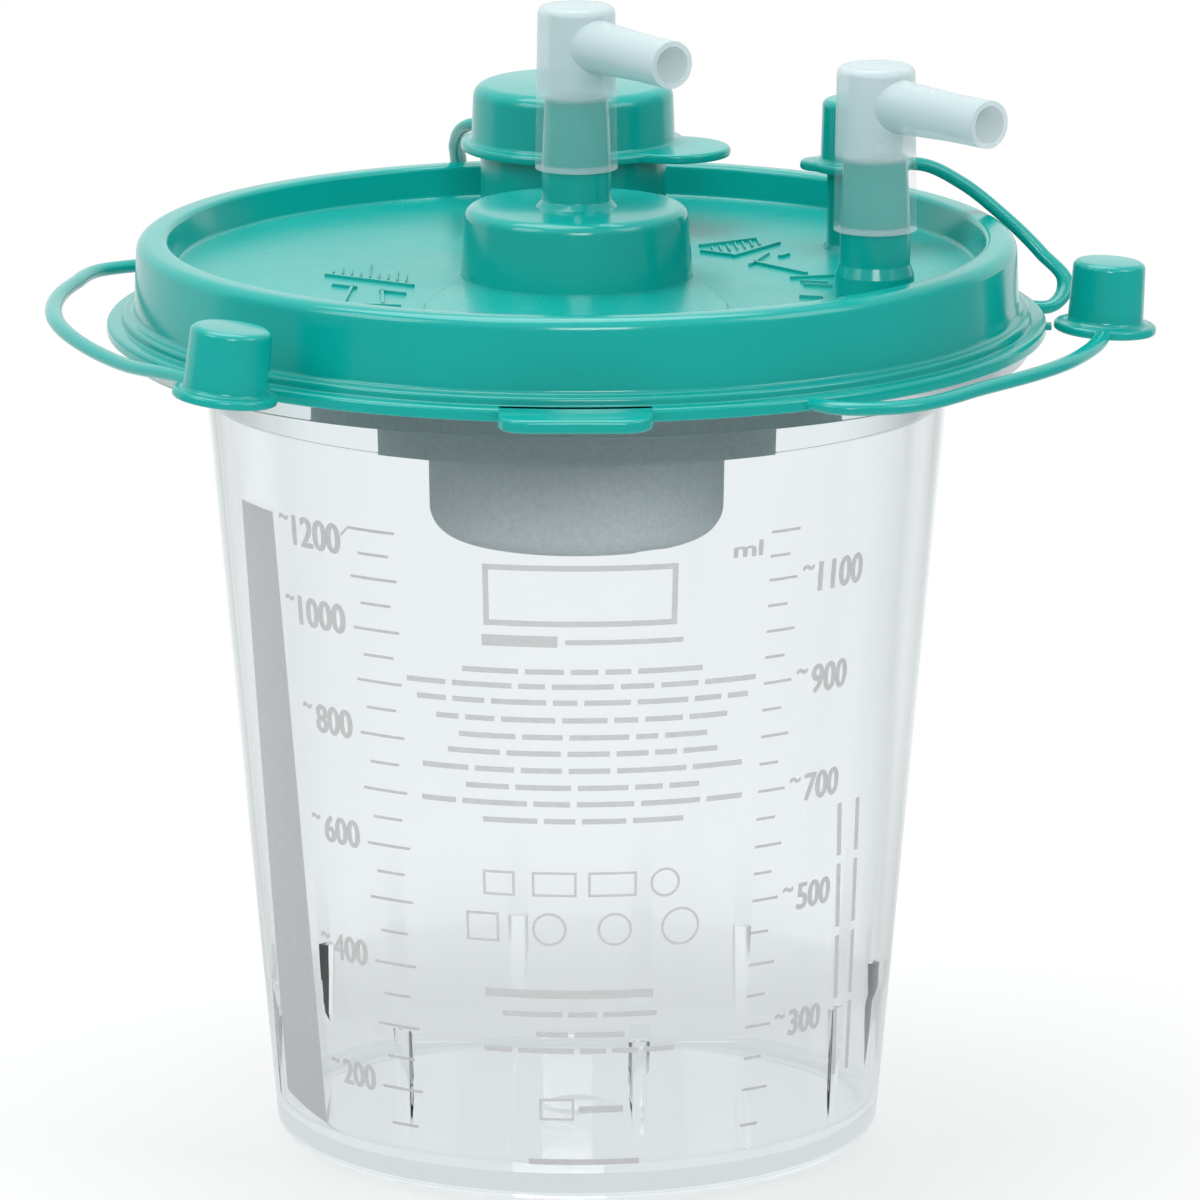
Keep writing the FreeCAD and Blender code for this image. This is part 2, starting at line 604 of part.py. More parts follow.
def make_cap(label, radius, draft, height, roof, flange, inner, edge_round):
    """A cap: tapered cup, open below, with a flange round its mouth."""
    body = new_body(label)
    turned(body, "cup", [
        (inner, "0"), (flange, "0"), (flange, "cap_flange_thick"), (radius, "cap_flange_thick"),
        (f"{radius} - {draft}", height), ("0", height), ("0", f"{height} - {roof}"),
        (inner, f"{height} - {roof}")])
    round_rings(body, "top_edge", [(f"{radius} - {draft}", height)], edge_round)
    round_rings(body, "neck_cove", [(radius, "cap_flange_thick")], f"({flange} - {radius}) * 0.55")
    return body


def add_grip(body, reach, radius, turn):
    """Thumb tab: a round-ended tongue in the plane of the flange."""
    tongue = add_shape(body, "AdditiveCylinder", "grip", Radius=radius, Height="cap_flange_thick",
                       x=f"({reach} - {radius}) * cos({turn})", y=f"({reach} - {radius}) * sin({turn})",
                       z="0")
    return tongue


def make_strap(name, points, direction):
    """Split the strap: a root moulded to the lid, the free strap, an end moulded to the cap."""
    pieces = strap_pieces(points, direction, size("strap_radius"))
    root = plain_feature(name + "_root", pieces[0])
    strap = plain_feature(name, joined_solid(pieces[1:-1]))
    strap.Label = name
    end = plain_feature(name + "_end", pieces[-1])
    return root, strap, end


def hanging_centre(side):
    """Middle of a hanging cap's mouth."""
    reach, angle = "(flange_radius + cap_beyond)", side + "_cap_angle"
    return {"x": f"{reach} * cos({angle})", "y": f"{reach} * sin({angle})",
            "z": f"collar_top + {side}_cap_lift"}


def hanging_point(side):
    place = hanging_centre(side)
    return Vector(size(place["x"]), size(place["y"]), size(place["z"]))


def place_hanging(body, side):
    tilt = side + "_cap_tilt"
    body.Placement.Rotation = Rotation(Vector(0, 1, 0), size(tilt))
    body.setExpression("Placement.Rotation.Angle", tied(tilt))
    tie(body, **hanging_centre(side))
    doc.recompute()


# Centre lines of the straps. "lid" places are beyond the lid's flange and above its middle,
# "cap" places are beyond the cap's flange and above its middle: distance, direction, height.
# Distances and heights are in strap steps.
STRAPS = {
    "spout_cap_strap": (104.8, [
        ("lid", -1.4, 104.8, 0), ("lid", 2.3, 104.8, 0), ("lid", 6.0, 104.8, 3.75),
        ("lid", 4.2, 104.6, 12.0), ("lid", -2.0, 105.9, 17.8), ("cap", 7.0, 129.5, -0.2),
        ("cap", 2.4, 128.5, 0.05), ("cap", -2.0, 128, 0)]),
    "tandem_cap_strap": (10, [
        ("lid", -1.25, 9.9, 0), ("lid", 2.7, 9.9, 0), ("lid", 5.7, 11.1, 3.65),
        ("lid", 2.25, 13.7, 10.05), ("lid", -3.9, 16.2, 16.9), ("lid", -10.9, 17.7, 21.7),
        ("cap", 2.0, 8.5, -0.4), ("cap", -1.8, 6.5, 0)]),
    "patient_cap_strap": (143, [
        ("lid", -1.2, 143, 0), ("lid", 6.0, 143, 0), ("lid", 14.2, 150.5, 0.4),
        ("lid", 12.4, 161, 0.8), ("lid", 8.8, 182, 1.0), ("lid", 4.8, 207, 0.4),
        ("cap", 1.8, 121, 0.5), ("cap", -2.0, 121, 0.4)]),
    "vacuum_cap_strap": (-45, [
        ("lid", -1.25, -61, 0), ("lid", 4.7, -59.4, 0), ("lid", 8.0, -54.9, -0.2),
        ("lid", 7.2, -38.3, -0.3), ("lid", 8.4, -20.4, -0.3),
        ("cap", 1.8, -103, 0), ("cap", -2.0, -103, 0)]),
}


def strap_line(name, cap_flange, centre):
    """The strap's centre line as points, and its first direction."""
    first, places = STRAPS[name]
    step = size("strap_step")
    reach = {"lid": (size("flange_radius"), Vector(0, 0, size(FLANGE_MID))),
             "cap": (size(cap_flange), centre)}
    points = []
    for where, beyond, angle, above in places:
        edge, middle = reach[where]
        points.append(middle + aim(angle) * (edge + beyond * step) + Vector(0, 0, above * step))
    return points, aim(first)


def main():
    half_flange = size("cap_flange_thick / 2")
    centres = {
        "spout_cap_strap": ("spout_cap_flange", Vector(size("0 - spout_left"), size("spout_back"),
                                                       size(SPOUT_CAP_FOOT))),
        "tandem_cap_strap": ("cap_flange", Vector(size("tandem_x"), size("tandem_back"),
                                                  size(TANDEM_CAP_FOOT))),
        "patient_cap_strap": ("cap_flange", hanging_point("left")),
        "vacuum_cap_strap": ("cap_flange", hanging_point("right")),
    }
    straps = {}
    for name, (flange, foot) in centres.items():
        points, direction = strap_line(name, flange, foot + Vector(0, 0, half_flange))
        straps[name] = make_strap(name, points, direction)
    roots = [straps[name][0] for name in straps]

    canister = make_canister()
    lid = make_lid(roots)
    filter_cup = make_filter()
    vacuum_elbow = make_elbow("vacuum_elbow", "0", "0 - boss_forward", VACUUM_MOUTH, "vacuum_aim")
    patient_elbow = make_elbow("patient_elbow", "patient_x", "0 - patient_forward", PATIENT_MOUTH,
                               "patient_aim")

    spout_cap = make_cap("spout_cap_cup", "spout_cap_radius", "spout_cap_draft",
                         "spout_cap_height", "spout_cap_roof", "spout_cap_flange",
                         "spout_radius + turn_gap", "2.4")
    add_grip(spout_cap, "spout_cap_grip", "spout_cap_grip_radius", "spout_cap_grip_turn")
    add_shape(spout_cap, "SubtractiveCylinder", "mouth", Radius="spout_radius + turn_gap",
              Height="cap_flange_thick", z="0")
    tie(spout_cap, x="0 - spout_left", y="spout_back", z=SPOUT_CAP_FOOT)
    tandem_cap = make_cap("tandem_cap_cup", "wide_cap_radius", "cap_draft", "cap_height",
                          "cap_roof", "cap_flange", "port_radius + turn_gap", "cap_round")
    add_grip(tandem_cap, "tandem_grip", "tandem_grip_radius", "180")
    add_shape(tandem_cap, "SubtractiveCylinder", "mouth", Radius="port_radius + turn_gap",
              Height="cap_flange_thick", z="0")
    tie(tandem_cap, x="tandem_x", y="tandem_back", z=TANDEM_CAP_FOOT)
    patient_cap = make_cap("patient_cap_cup", "wide_cap_radius", "cap_draft", "cap_height",
                           "cap_roof", "cap_flange", "port_radius + turn_gap", "cap_round")
    place_hanging(patient_cap, "left")
    vacuum_cap = make_cap("vacuum_cap_cup", "slim_cap_radius", "cap_draft", "cap_height",
                          "cap_roof", "cap_flange", "port_tip + turn_gap", "cap_round")
    place_hanging(vacuum_cap, "right")
    doc.recompute()

    nodes = [
        canister, lid, filter_cup, vacuum_elbow, patient_elbow,
        finished("pour_spout_cap", spout_cap, straps["spout_cap_strap"][2]),
        finished("tandem_cap", tandem_cap, straps["tandem_cap_strap"][2]),
        finished("patient_port_cap", patient_cap, straps["patient_cap_strap"][2]),
        finished("vacuum_port_cap", vacuum_cap, straps["vacuum_cap_strap"][2]),
    ]
    nodes += [straps[name][1] for name in straps]
    doc.recompute()

    for item in doc.Objects:
        if "Invalid" in item.State or "Error" in item.State:
            raise RuntimeError(f"{item.Name} failed: {item.State}")
    os.makedirs("parts", exist_ok=True)
    for node in nodes:
        shape = node.Shape
        if shape.isNull() or not shape.isValid():
            raise RuntimeError(f"{node.Label} is not a valid shape")
        shape.exportStep(f"parts/{node.Label}.step")
        box = shape.BoundBox
        print(f"{node.Label}: {len(shape.Solids)} solid, {shape.Volume / 1000:.2f} cm3, "
              f"x {box.XMin:.1f} {box.XMax:.1f} y {box.YMin:.1f} {box.YMax:.1f} "
              f"z {box.ZMin:.1f} {box.ZMax:.1f}")


main()
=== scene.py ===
# %% [markdown]
# # A suction canister, dressed over its CAD frame
# The object is a clear tapered jar with a glossy teal lid. Frosted elbows turn on two of the lid's
# ports, caps close the others, and a porous filter cup hangs inside. The CAD model gives every size
# and every joint. This script gives the looks: surfaces are worked out as numpy arrays and finishes
# are made of shader nodes.

# %% Tools and the frame
import math

import bmesh
import bpy
import numpy as np
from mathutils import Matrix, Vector
from mathutils.geometry import delaunay_2d_cdt


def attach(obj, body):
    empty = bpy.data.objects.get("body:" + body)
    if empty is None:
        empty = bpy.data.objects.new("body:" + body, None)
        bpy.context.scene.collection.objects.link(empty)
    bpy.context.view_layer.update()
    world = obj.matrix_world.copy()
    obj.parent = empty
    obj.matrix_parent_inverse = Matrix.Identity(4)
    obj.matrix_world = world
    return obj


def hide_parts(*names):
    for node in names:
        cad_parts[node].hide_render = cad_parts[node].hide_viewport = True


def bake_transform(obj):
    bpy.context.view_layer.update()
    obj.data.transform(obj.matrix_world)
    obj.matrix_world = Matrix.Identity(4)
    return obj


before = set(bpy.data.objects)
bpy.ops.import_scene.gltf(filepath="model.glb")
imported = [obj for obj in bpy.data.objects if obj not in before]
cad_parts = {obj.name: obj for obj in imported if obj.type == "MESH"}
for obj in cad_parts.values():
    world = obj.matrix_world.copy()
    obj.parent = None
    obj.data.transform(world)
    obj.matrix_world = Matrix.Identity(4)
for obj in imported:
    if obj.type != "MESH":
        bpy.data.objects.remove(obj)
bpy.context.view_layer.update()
MM = 0.001

# %% [markdown]
# ## From arrays to meshes
# Nearly every new piece is a grid of points that depends on two parameters. One helper turns such a
# grid into quads, closes it where it should be closed, and merges the points of seams and poles. It
# works in millimetres, because that is how the object was measured.

# %% Grids, places and finishing


def grid_faces(rows, columns, close_rows=False, close_columns=False):
    """Quads of a grid: each joins a point, its neighbour along the row, and the two on the next row."""
    i = np.arange(rows if close_rows else rows - 1)[:, None]
    j = np.arange(columns if close_columns else columns - 1)[None, :]
    i2 = (i + 1) % rows
    j2 = (j + 1) % columns
    quads = np.stack([i * columns + j, i * columns + j2, i2 * columns + j2, i2 * columns + j], -1)
    return quads.reshape(-1, 4)


def make_mesh(name, points, faces, weld=True):
    """A mesh object from points in millimetres and an array of faces, with its doubles merged.
    A face with -1 as its fourth corner is a triangle."""
    mesh = bpy.data.meshes.new(name)
    quads, triangles = faces[faces[:, 3] >= 0], faces[faces[:, 3] < 0][:, :3]
    mesh.from_pydata((points.reshape(-1, 3) * MM).tolist(), [], quads.tolist() + triangles.tolist())
    mesh.update()
    if weld:
        work = bmesh.new()
        work.from_mesh(mesh)
        bmesh.ops.remove_doubles(work, verts=work.verts, dist=0.002 * MM)
        bmesh.ops.recalc_face_normals(work, faces=work.faces)
        work.to_mesh(mesh)
        work.free()
    piece = bpy.data.objects.new(name, mesh)
    bpy.context.scene.collection.objects.link(piece)
    return piece


def smooth(piece, angle=35.0):
    """Smooth shading, with edges sharper than the angle kept crisp."""
    mesh = piece.data
    mesh.shade_smooth()
    mesh.set_sharp_from_angle(angle=math.radians(angle))


def finish_piece(piece, material, body=None, stands_for=(), angle=35.0):
    """Give a new piece its finish, the body it moves with and the nodes that it stands for."""
    smooth(piece, angle)
    piece.data.materials.clear()
    piece.data.materials.append(material)
    if body:
        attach(piece, body)
    if stands_for:
        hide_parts(*stands_for)
    print(f"{piece.name}: {len(piece.data.polygons)} faces")
    return piece


# %% [markdown]
# ## Node helpers
# A finish is a Principled shader with a few patterns behind its sockets. All patterns read Object
# coordinates, so they stay on the piece from every side.

# %% Small helpers for shader nodes


def node_adder(tree):
    """A function that adds a node to a tree and sets or links its inputs."""
    def add(kind, inputs=None, **settings):
        node = tree.nodes.new(kind)
        for key, value in settings.items():
            setattr(node, key, value)
        for key, value in (inputs or {}).items():
            if isinstance(value, bpy.types.NodeSocket):
                tree.links.new(value, node.inputs[key])
            else:
                node.inputs[key].default_value = value
        return node

    return add


def new_material(name):
    """An empty node material, its Principled shader, its node adder and its links."""
    material = bpy.data.materials.new(name)
    material.use_nodes = True
    tree = material.node_tree
    return material, tree.nodes["Principled BSDF"], node_adder(tree), tree.links


def pattern(add, scale, detail=2.0, roughness=0.5):
    """A soft noise on Object coordinates; scale is in cells for each metre."""
    place = add("ShaderNodeTexCoord").outputs["Object"]
    return add("ShaderNodeTexNoise", {"Vector": place, "Scale": scale, "Detail": detail,
                                      "Roughness": roughness}).outputs["Fac"]


def remap(add, factor, low, high):
    """A number that runs from low to high as the factor runs over the middle of its range."""
    node = add("ShaderNodeMapRange", {"Value": factor, "From Min": 0.3, "From Max": 0.7,
                                      "To Min": low, "To Max": high})
    return node.outputs["Result"]


def calculate(add, operation, *values):
    """One Math node's result."""
    return add("ShaderNodeMath", dict(enumerate(values)), operation=operation).outputs[0]


def step_between(add, value, start, end, low, high):
    """A number that runs softly from low to high as the value runs from start to end."""
    node = add("ShaderNodeMapRange", {"Value": value, "From Min": start, "From Max": end,
                                      "To Min": low, "To Max": high}, interpolation_type="SMOOTHSTEP")
    return node.outputs["Result"]


def object_place(add):
    """The X, Y and Z of the place on the piece, in metres."""
    return add("ShaderNodeSeparateXYZ", {0: add("ShaderNodeTexCoord").outputs["Object"]}).outputs


def blend_colour(add, factor, one, two):
    """A colour between two, by the factor."""
    node = add("ShaderNodeMix", {"Factor": factor}, data_type="RGBA")
    node.inputs["A"].default_value = (*one, 1.0)
    node.inputs["B"].default_value = (*two, 1.0)
    return node.outputs["Result"]


# %% [markdown]
# ## Teal moulded plastic
# The lid, its caps and its straps are polypropylene from a polished mould: one even, deep teal under
# a clear gloss. The colour drifts very faintly, and so does the gloss. The lid's recessed floor and
# its pad come from a finely etched part of the mould, so they are satin.

# %% The teal finish
SATIN_HEIGHT, SATIN_DEPTH, SATIN_RADIUS = 0.1526, 0.0006, 0.0686


def teal_plastic():
    material, shader, add, links = new_material("teal_polypropylene")
    drift = remap(add, pattern(add, 26.0, 2.0), 0.0, 1.0)
    links.new(blend_colour(add, drift, (0.001, 0.335, 0.295), (0.002, 0.355, 0.315)),
              shader.inputs["Base Color"])
    place = object_place(add)
    level = calculate(add, "COMPARE", place["Z"], SATIN_HEIGHT, SATIN_DEPTH)
    flat = add("ShaderNodeCombineXYZ", {"X": place["X"], "Y": place["Y"]})
    reach = add("ShaderNodeVectorMath", {0: flat.outputs[0]}, operation="LENGTH").outputs["Value"]
    satin = calculate(add, "MULTIPLY", level, calculate(add, "LESS_THAN", reach, SATIN_RADIUS))
    fine = remap(add, pattern(add, 90.0, 2.0), 0.13, 0.18)
    links.new(calculate(add, "MULTIPLY_ADD", satin, 0.13, fine), shader.inputs["Roughness"])
    shader.inputs["Specular IOR Level"].default_value = 0.5
    shader.inputs["IOR"].default_value = 1.48
    return material


teal = teal_plastic()

# %% [markdown]
# ## Clear plastic
# The jar is clear polystyrene, so it is a transmitting shader. A real path for light through thin
# walls costs many samples, so shadow rays pass straight through it, faintly tinted. Light that was
# thrown back inside the thick foot or the collar would run round there for long, so it leaves
# straight on. The lugs keep the dark strokes that such light draws in them.

# %% The clear finish
FOOT_HEIGHT, COLLAR_HEIGHT = 0.007, 0.1305


def clear_plastic():
    material, shader, add, links = new_material("clear_polystyrene")
    shader.inputs["Base Color"].default_value = (0.975, 0.980, 0.982, 1.0)
    shader.inputs["Transmission Weight"].default_value = 1.0
    shader.inputs["IOR"].default_value = 1.42
    haze = remap(add, pattern(add, 60.0, 2.0), 0.0, 0.03)
    links.new(haze, shader.inputs["Roughness"])
    wave = add("ShaderNodeBump", {"Height": pattern(add, 18.0, 1.0), "Strength": 0.05,
                                  "Distance": 0.004})
    links.new(wave.outputs["Normal"], shader.inputs["Normal"])
    through = add("ShaderNodeBsdfTransparent", {"Color": (0.93, 0.95, 0.955, 1.0)})
    path = add("ShaderNodeLightPath")
    height = object_place(add)["Z"]
    thick = calculate(add, "MAXIMUM", calculate(add, "LESS_THAN", height, FOOT_HEIGHT),
                      calculate(add, "GREATER_THAN", height, COLLAR_HEIGHT))
    inside = calculate(add, "MULTIPLY", path.outputs["Is Glossy Ray"],
                       add("ShaderNodeNewGeometry").outputs["Backfacing"])
    trapped = calculate(add, "MULTIPLY", thick, inside)
    straight = calculate(add, "MAXIMUM", path.outputs["Is Shadow Ray"], trapped)
    mix = add("ShaderNodeMixShader", {0: straight, 1: shader.outputs["BSDF"], 2: through.outputs["BSDF"]})
    output = material.node_tree.nodes["Material Output"]
    links.new(mix.outputs["Shader"], output.inputs["Surface"])
    return material


clear = clear_plastic()

# %% [markdown]
# ## Frosted elbows
# The two elbows are natural polyethylene. Round the port the sleeve lies close on the teal plastic
# and shows it clearly; above the port's tip the walls are milky and nothing shows through. Part of
# the light goes straight on and the rest scatters at the surface, under a soft gloss.

# %% The frosted finish


def frosted_plastic(name, foot, tip):
    """Milky plastic; foot and tip are the heights, in the piece's own frame, where the sleeve starts
    and where the port inside it ends."""
    material, shader, add, links = new_material(name)
    cloud = remap(add, pattern(add, 50.0, 2.0), 0.0, 1.0)
    links.new(blend_colour(add, cloud, (0.60, 0.72, 0.74), (0.63, 0.745, 0.765)),
              shader.inputs["Base Color"])
    shader.inputs["IOR"].default_value = 1.5
    links.new(remap(add, pattern(add, 120.0, 2.0), 0.22, 0.28), shader.inputs["Roughness"])
    height = object_place(add)["Z"]
    over = step_between(add, height, tip - 0.0008, tip + 0.0010, 0.11, 0.60)
    edge = step_between(add, height, foot + 0.0006, foot + 0.0014, 0.35, 0.0)
    links.new(calculate(add, "MAXIMUM", over, edge), shader.inputs["Alpha"])
    return material


# %% [markdown]
# ## Porous filter
# The cup is sintered plastic: matt blue-grey, with a grain of tiny beads that only shows close up.
# Its colour is painted lighter than the cup's own: painted light that makes up for the lid's shade, in which
# the cup hangs.

# %% The porous finish


def porous_plastic():
    material, shader, add, links = new_material("sintered_filter")
    place = add("ShaderNodeTexCoord").outputs["Object"]
    beads = add("ShaderNodeTexVoronoi", {"Vector": place, "Scale": 1100.0})
    # painted light: both bead tones are much lighter than the cup's own blue-grey, to make up for the lid's
    # shade
    grain_tone_painted_lighter = blend_colour(add, beads.outputs["Distance"], (0.80, 0.88, 0.91), (0.70, 0.78, 0.81))
    links.new(grain_tone_painted_lighter, shader.inputs["Base Color"])
    shader.inputs["Roughness"].default_value = 0.75
    grain = add("ShaderNodeBump", {"Height": beads.outputs["Distance"], "Strength": 0.25,
                                   "Distance": 0.0003})
    links.new(grain.outputs["Normal"], shader.inputs["Normal"])
    return material


porous = porous_plastic()

# %% [markdown]
# ## Printing ink
# The scale and the write-on strip are printed on the jar in a light grey ink. The strip is a little
# smoother and cooler, and both are slightly uneven, as screen print is.

# %% The ink finishes


def printing_ink(name, pale, dark, gloss):
    material, shader, add, links = new_material(name)
    uneven = remap(add, pattern(add, 900.0, 3.0), 0.0, 1.0)
    links.new(blend_colour(add, uneven, pale, dark), shader.inputs["Base Color"])
    shader.inputs["Roughness"].default_value = gloss
    return material


scale_ink = printing_ink("grey_scale_ink", (0.55, 0.55, 0.55), (0.50, 0.50, 0.50), 0.5)
panel_ink = printing_ink("pale_panel_ink", (0.58, 0.58, 0.58), (0.54, 0.54, 0.54), 0.5)
strip_ink = printing_ink("grey_strip_ink", (0.48, 0.48, 0.49), (0.45, 0.45, 0.46), 0.35)

# %% [markdown]
# ## The jar
# The jar is one closed skin: up the outside, over the rim, down the inside and across the floor. Its
# outline is a chain of corners with rounds, turned about the axis. Eight half-round lugs stand on
# the inside near the foot; there the radius is cut short by the lug's own circle.

# %% Sizes of the jar, in millimetres
BASE_RADIUS = 52.1
WALL_SLOPE = 0.0889
JAR_WALL = 1.6
SEAT = 141.4
LUG_RADIUS = 1.75
LUG_BOTTOM, LUG_TOP = 8.3, 28.6
LUG_AZIMUTHS = 11.5 + 45.0 * np.arange(8)


def wall_radius(z):
    """Outer radius of the jar's wall at a height."""
    return BASE_RADIUS + WALL_SLOPE * z


def rounded_profile(corners, steps=7):
    """A chain of (radius, height, round): each corner with a round is replaced by a tangent arc.
    The arc starts and ends at round / tan(half the corner's angle) from the corner."""
    points = []
    last = len(corners) - 1
    for i, (r, z, radius) in enumerate(corners):
        here = np.array([r, z], float)
        if radius == 0 or i in (0, last):
            points.append(here[None])
            continue
        back = np.array(corners[i - 1][:2]) - here
        ahead = np.array(corners[i + 1][:2]) - here
        back /= np.linalg.norm(back)
        ahead /= np.linalg.norm(ahead)
        half = math.acos(np.clip(back @ ahead, -1, 1)) / 2
        middle = back + ahead
        centre = here + middle / np.linalg.norm(middle) * radius / math.sin(half)
        start = here + back * radius / math.tan(half) - centre
        end = here + ahead * radius / math.tan(half) - centre
        sweep = math.pi - 2 * half
        t = np.linspace(0, 1, steps)[:, None]
        points.append(centre + (start * np.sin((1 - t) * sweep) + end * np.sin(t * sweep)) / math.sin(sweep))
    return np.vstack(points)


def turned(profile, angles):
    """Points of a profile turned about +Z: x is r sin(a) and y is -r cos(a), from the front."""
    r = profile[:, 0][:, None]
    z = np.repeat(profile[:, 1][:, None], len(angles), 1)
    return np.stack([r * np.sin(angles), -r * np.cos(angles), z], -1)


# %% The jar's skin
outside = rounded_profile([
    (0, 2.6, 0), (43.1, 1.6, 2.0), (44.5, 0, 0.6), (BASE_RADIUS, 0, 3.5),
    (wall_radius(131.1), 131.1, 0.2), (wall_radius(131.1) + 0.3, 131.1, 0.15),
    (wall_radius(139.9) + 0.3, 139.9, 1.0), (76.3, 139.9, 0.6), (76.3, 138.3, 0.2), (77.8, 138.3, 0.4),
    (77.8, SEAT, 0.5), (73.3, SEAT, 0.3), (73.3, SEAT + 13.4, 0.5), (71.9, SEAT + 13.4, 0.5),
    (71.9, SEAT, 1.0), (wall_radius(SEAT) - JAR_WALL, SEAT, 1.0),
    (wall_radius(LUG_TOP) - JAR_WALL, LUG_TOP + 0.15, 0),
])
lug_rows = np.linspace(LUG_TOP, LUG_BOTTOM, 12)
lug_part = np.stack([wall_radius(lug_rows) - JAR_WALL, lug_rows], -1)
floor_part = rounded_profile([
    (wall_radius(LUG_BOTTOM) - JAR_WALL, LUG_BOTTOM, 0),
    (wall_radius(4.8) - JAR_WALL, 4.8, 3.3), (6.2, 4.8, 0.3), (5.5, 5.3, 0.3), (4.8, 4.8, 0.3), (0, 4.8, 0),
])[1:]
profile = np.vstack([outside, lug_part, floor_part])
near = np.linspace(-2.2, 2.2, 19)
between = np.linspace(2.2, 42.8, 24)[1:-1]
azimuths = np.radians(np.concatenate([a + np.concatenate([near, between]) for a in LUG_AZIMUTHS]))
skin = turned(profile, azimuths)

# On the rows of the lugs the inner radius is where a ray from the axis meets the lug's circle.
rows = slice(len(outside), len(outside) + len(lug_part))
lug_axis = wall_radius(LUG_TOP) - JAR_WALL
away = (azimuths - np.radians(LUG_AZIMUTHS[0]) + math.pi / 8) % (math.pi / 4) - math.pi / 8
reach = LUG_RADIUS ** 2 - (lug_axis * np.sin(away)) ** 2
ray = np.where(reach > 0, lug_axis * np.cos(away) - np.sqrt(np.maximum(reach, 0)), 1e3)
radius = np.minimum(lug_part[:, :1], ray)
skin[rows, :, 0] = radius * np.sin(azimuths)
skin[rows, :, 1] = -radius * np.cos(azimuths)
jar = make_mesh("clear_jar", skin, grid_faces(len(profile), len(azimuths), close_columns=True))
finish_piece(jar, clear, "jar", ["canister"], 30.0)

# %% [markdown]
# ## The lid
# The lid is one closed skin too. Its disc, the boss and every port are outlines turned about their
# own axes; flat plates with round holes join them above and below, so each bore is a real hole.
# Its foot rounds are the soft corners that moulded ports have.

# %% Turned outlines, flat plates and slabs


def lathe(corners, columns=96, centre=(0.0, 0.0), steps=7):
    """Points and faces of an outline of (radius, height, round) turned about an upright axis."""
    outline = rounded_profile(corners, steps)
    points = turned(outline, np.linspace(0, 2 * math.pi, columns, endpoint=False))
    points[..., 0] += centre[0]
    points[..., 1] += centre[1]
    return points.reshape(-1, 3), grid_faces(len(outline), columns, close_columns=True)


def plate(height, circles):
    """A flat face inside the first circle and outside the others; a circle is (x, y, radius, count).
    Its triangles are Delaunay's, less those whose middle lies inside a hole."""
    loops, edges, start = [], [], 0
    for x, y, radius, count in circles:
        turn = np.linspace(0, 2 * math.pi, count, endpoint=False)
        loops.append(np.stack([x + radius * np.sin(turn), y - radius * np.cos(turn)], -1))
        k = np.arange(count)
        edges.append(np.stack([k, (k + 1) % count], -1) + start)
        start += count
    flat, _, faces, *_ = delaunay_2d_cdt([Vector(p) for p in np.vstack(loops).tolist()],
                                         np.vstack(edges).tolist(), [], 1, 1e-5)
    flat, faces = np.array(flat), np.array(faces)
    middle = flat[faces].mean(1)
    open_ = [np.hypot(middle[:, 0] - x, middle[:, 1] - y) < radius for x, y, radius, _ in circles[1:]]
    faces = faces[~np.any(open_, axis=0)]
    points = np.column_stack([flat, np.full(len(flat), height)])
    return points, np.column_stack([faces, np.full(len(faces), -1)])


def slab(outline, low, high, edge, steps=5):
    """A flat piece with rounded edges. Below and above, the outline is drawn in along a quarter
    round: by edge * (1 - sin q) while the height changes by edge * (1 - cos q)."""
    ahead = np.roll(outline, -1, 0) - np.roll(outline, 1, 0)
    out = np.stack([ahead[:, 1], -ahead[:, 0]], -1) / np.linalg.norm(ahead, axis=1)[:, None]
    q = np.linspace(0, math.pi / 2, steps)
    inset = edge * (1 - np.sin(q))
    rise = edge * (1 - np.cos(q))
    inset = np.concatenate([inset, inset[::-1]])
    z = np.concatenate([low + rise, high - rise[::-1]])
    rings = np.concatenate([outline[None] - out[None] * inset[:, None, None],
                            np.repeat(np.repeat(z[:, None], len(outline), 1)[..., None], 1, 2)], -1)
    middle = np.append(outline.mean(0), 0.0)
    first = np.repeat((middle + [0, 0, low])[None, None], len(outline), 1)
    last = np.repeat((middle + [0, 0, high])[None, None], len(outline), 1)
    rings = np.concatenate([first, rings, last])
    return rings.reshape(-1, 3), grid_faces(len(rings), len(outline), close_columns=True)


def gather(parts):
    """Several (points, faces) as one: each part's faces are moved on by the points before it."""
    starts = np.cumsum([0] + [len(points) for points, faces in parts[:-1]])
    moved = [np.where(faces < 0, -1, faces + start) for (points, faces), start in zip(parts, starts)]
    return np.vstack([points for points, faces in parts]), np.vstack(moved)


# %% Sizes of the lid, in millimetres
FLOOR = 152.2
UNDER = 150.6
CREST = 157.8
WELL_RADIUS = 69.0
FLANGE_RADIUS = 80.7
BOSS_Y, BOSS_TOP, VACUUM_MOUTH = -10.0, 164.8, 171.35
PATIENT, PATIENT_MOUTH = (50.4, -30.0), 164.45
TANDEM, TANDEM_TOP = (49.3, 18.0), 176.8
SPOUT, SPOUT_TOP = (-0.7, 43.0), 174.8
NECK, TIP, BORE, TAPER = 5.95, 5.35, 3.45, 12.4
LEFT_CAP_ANGLE, RIGHT_CAP_ANGLE = 230.2, -2.3

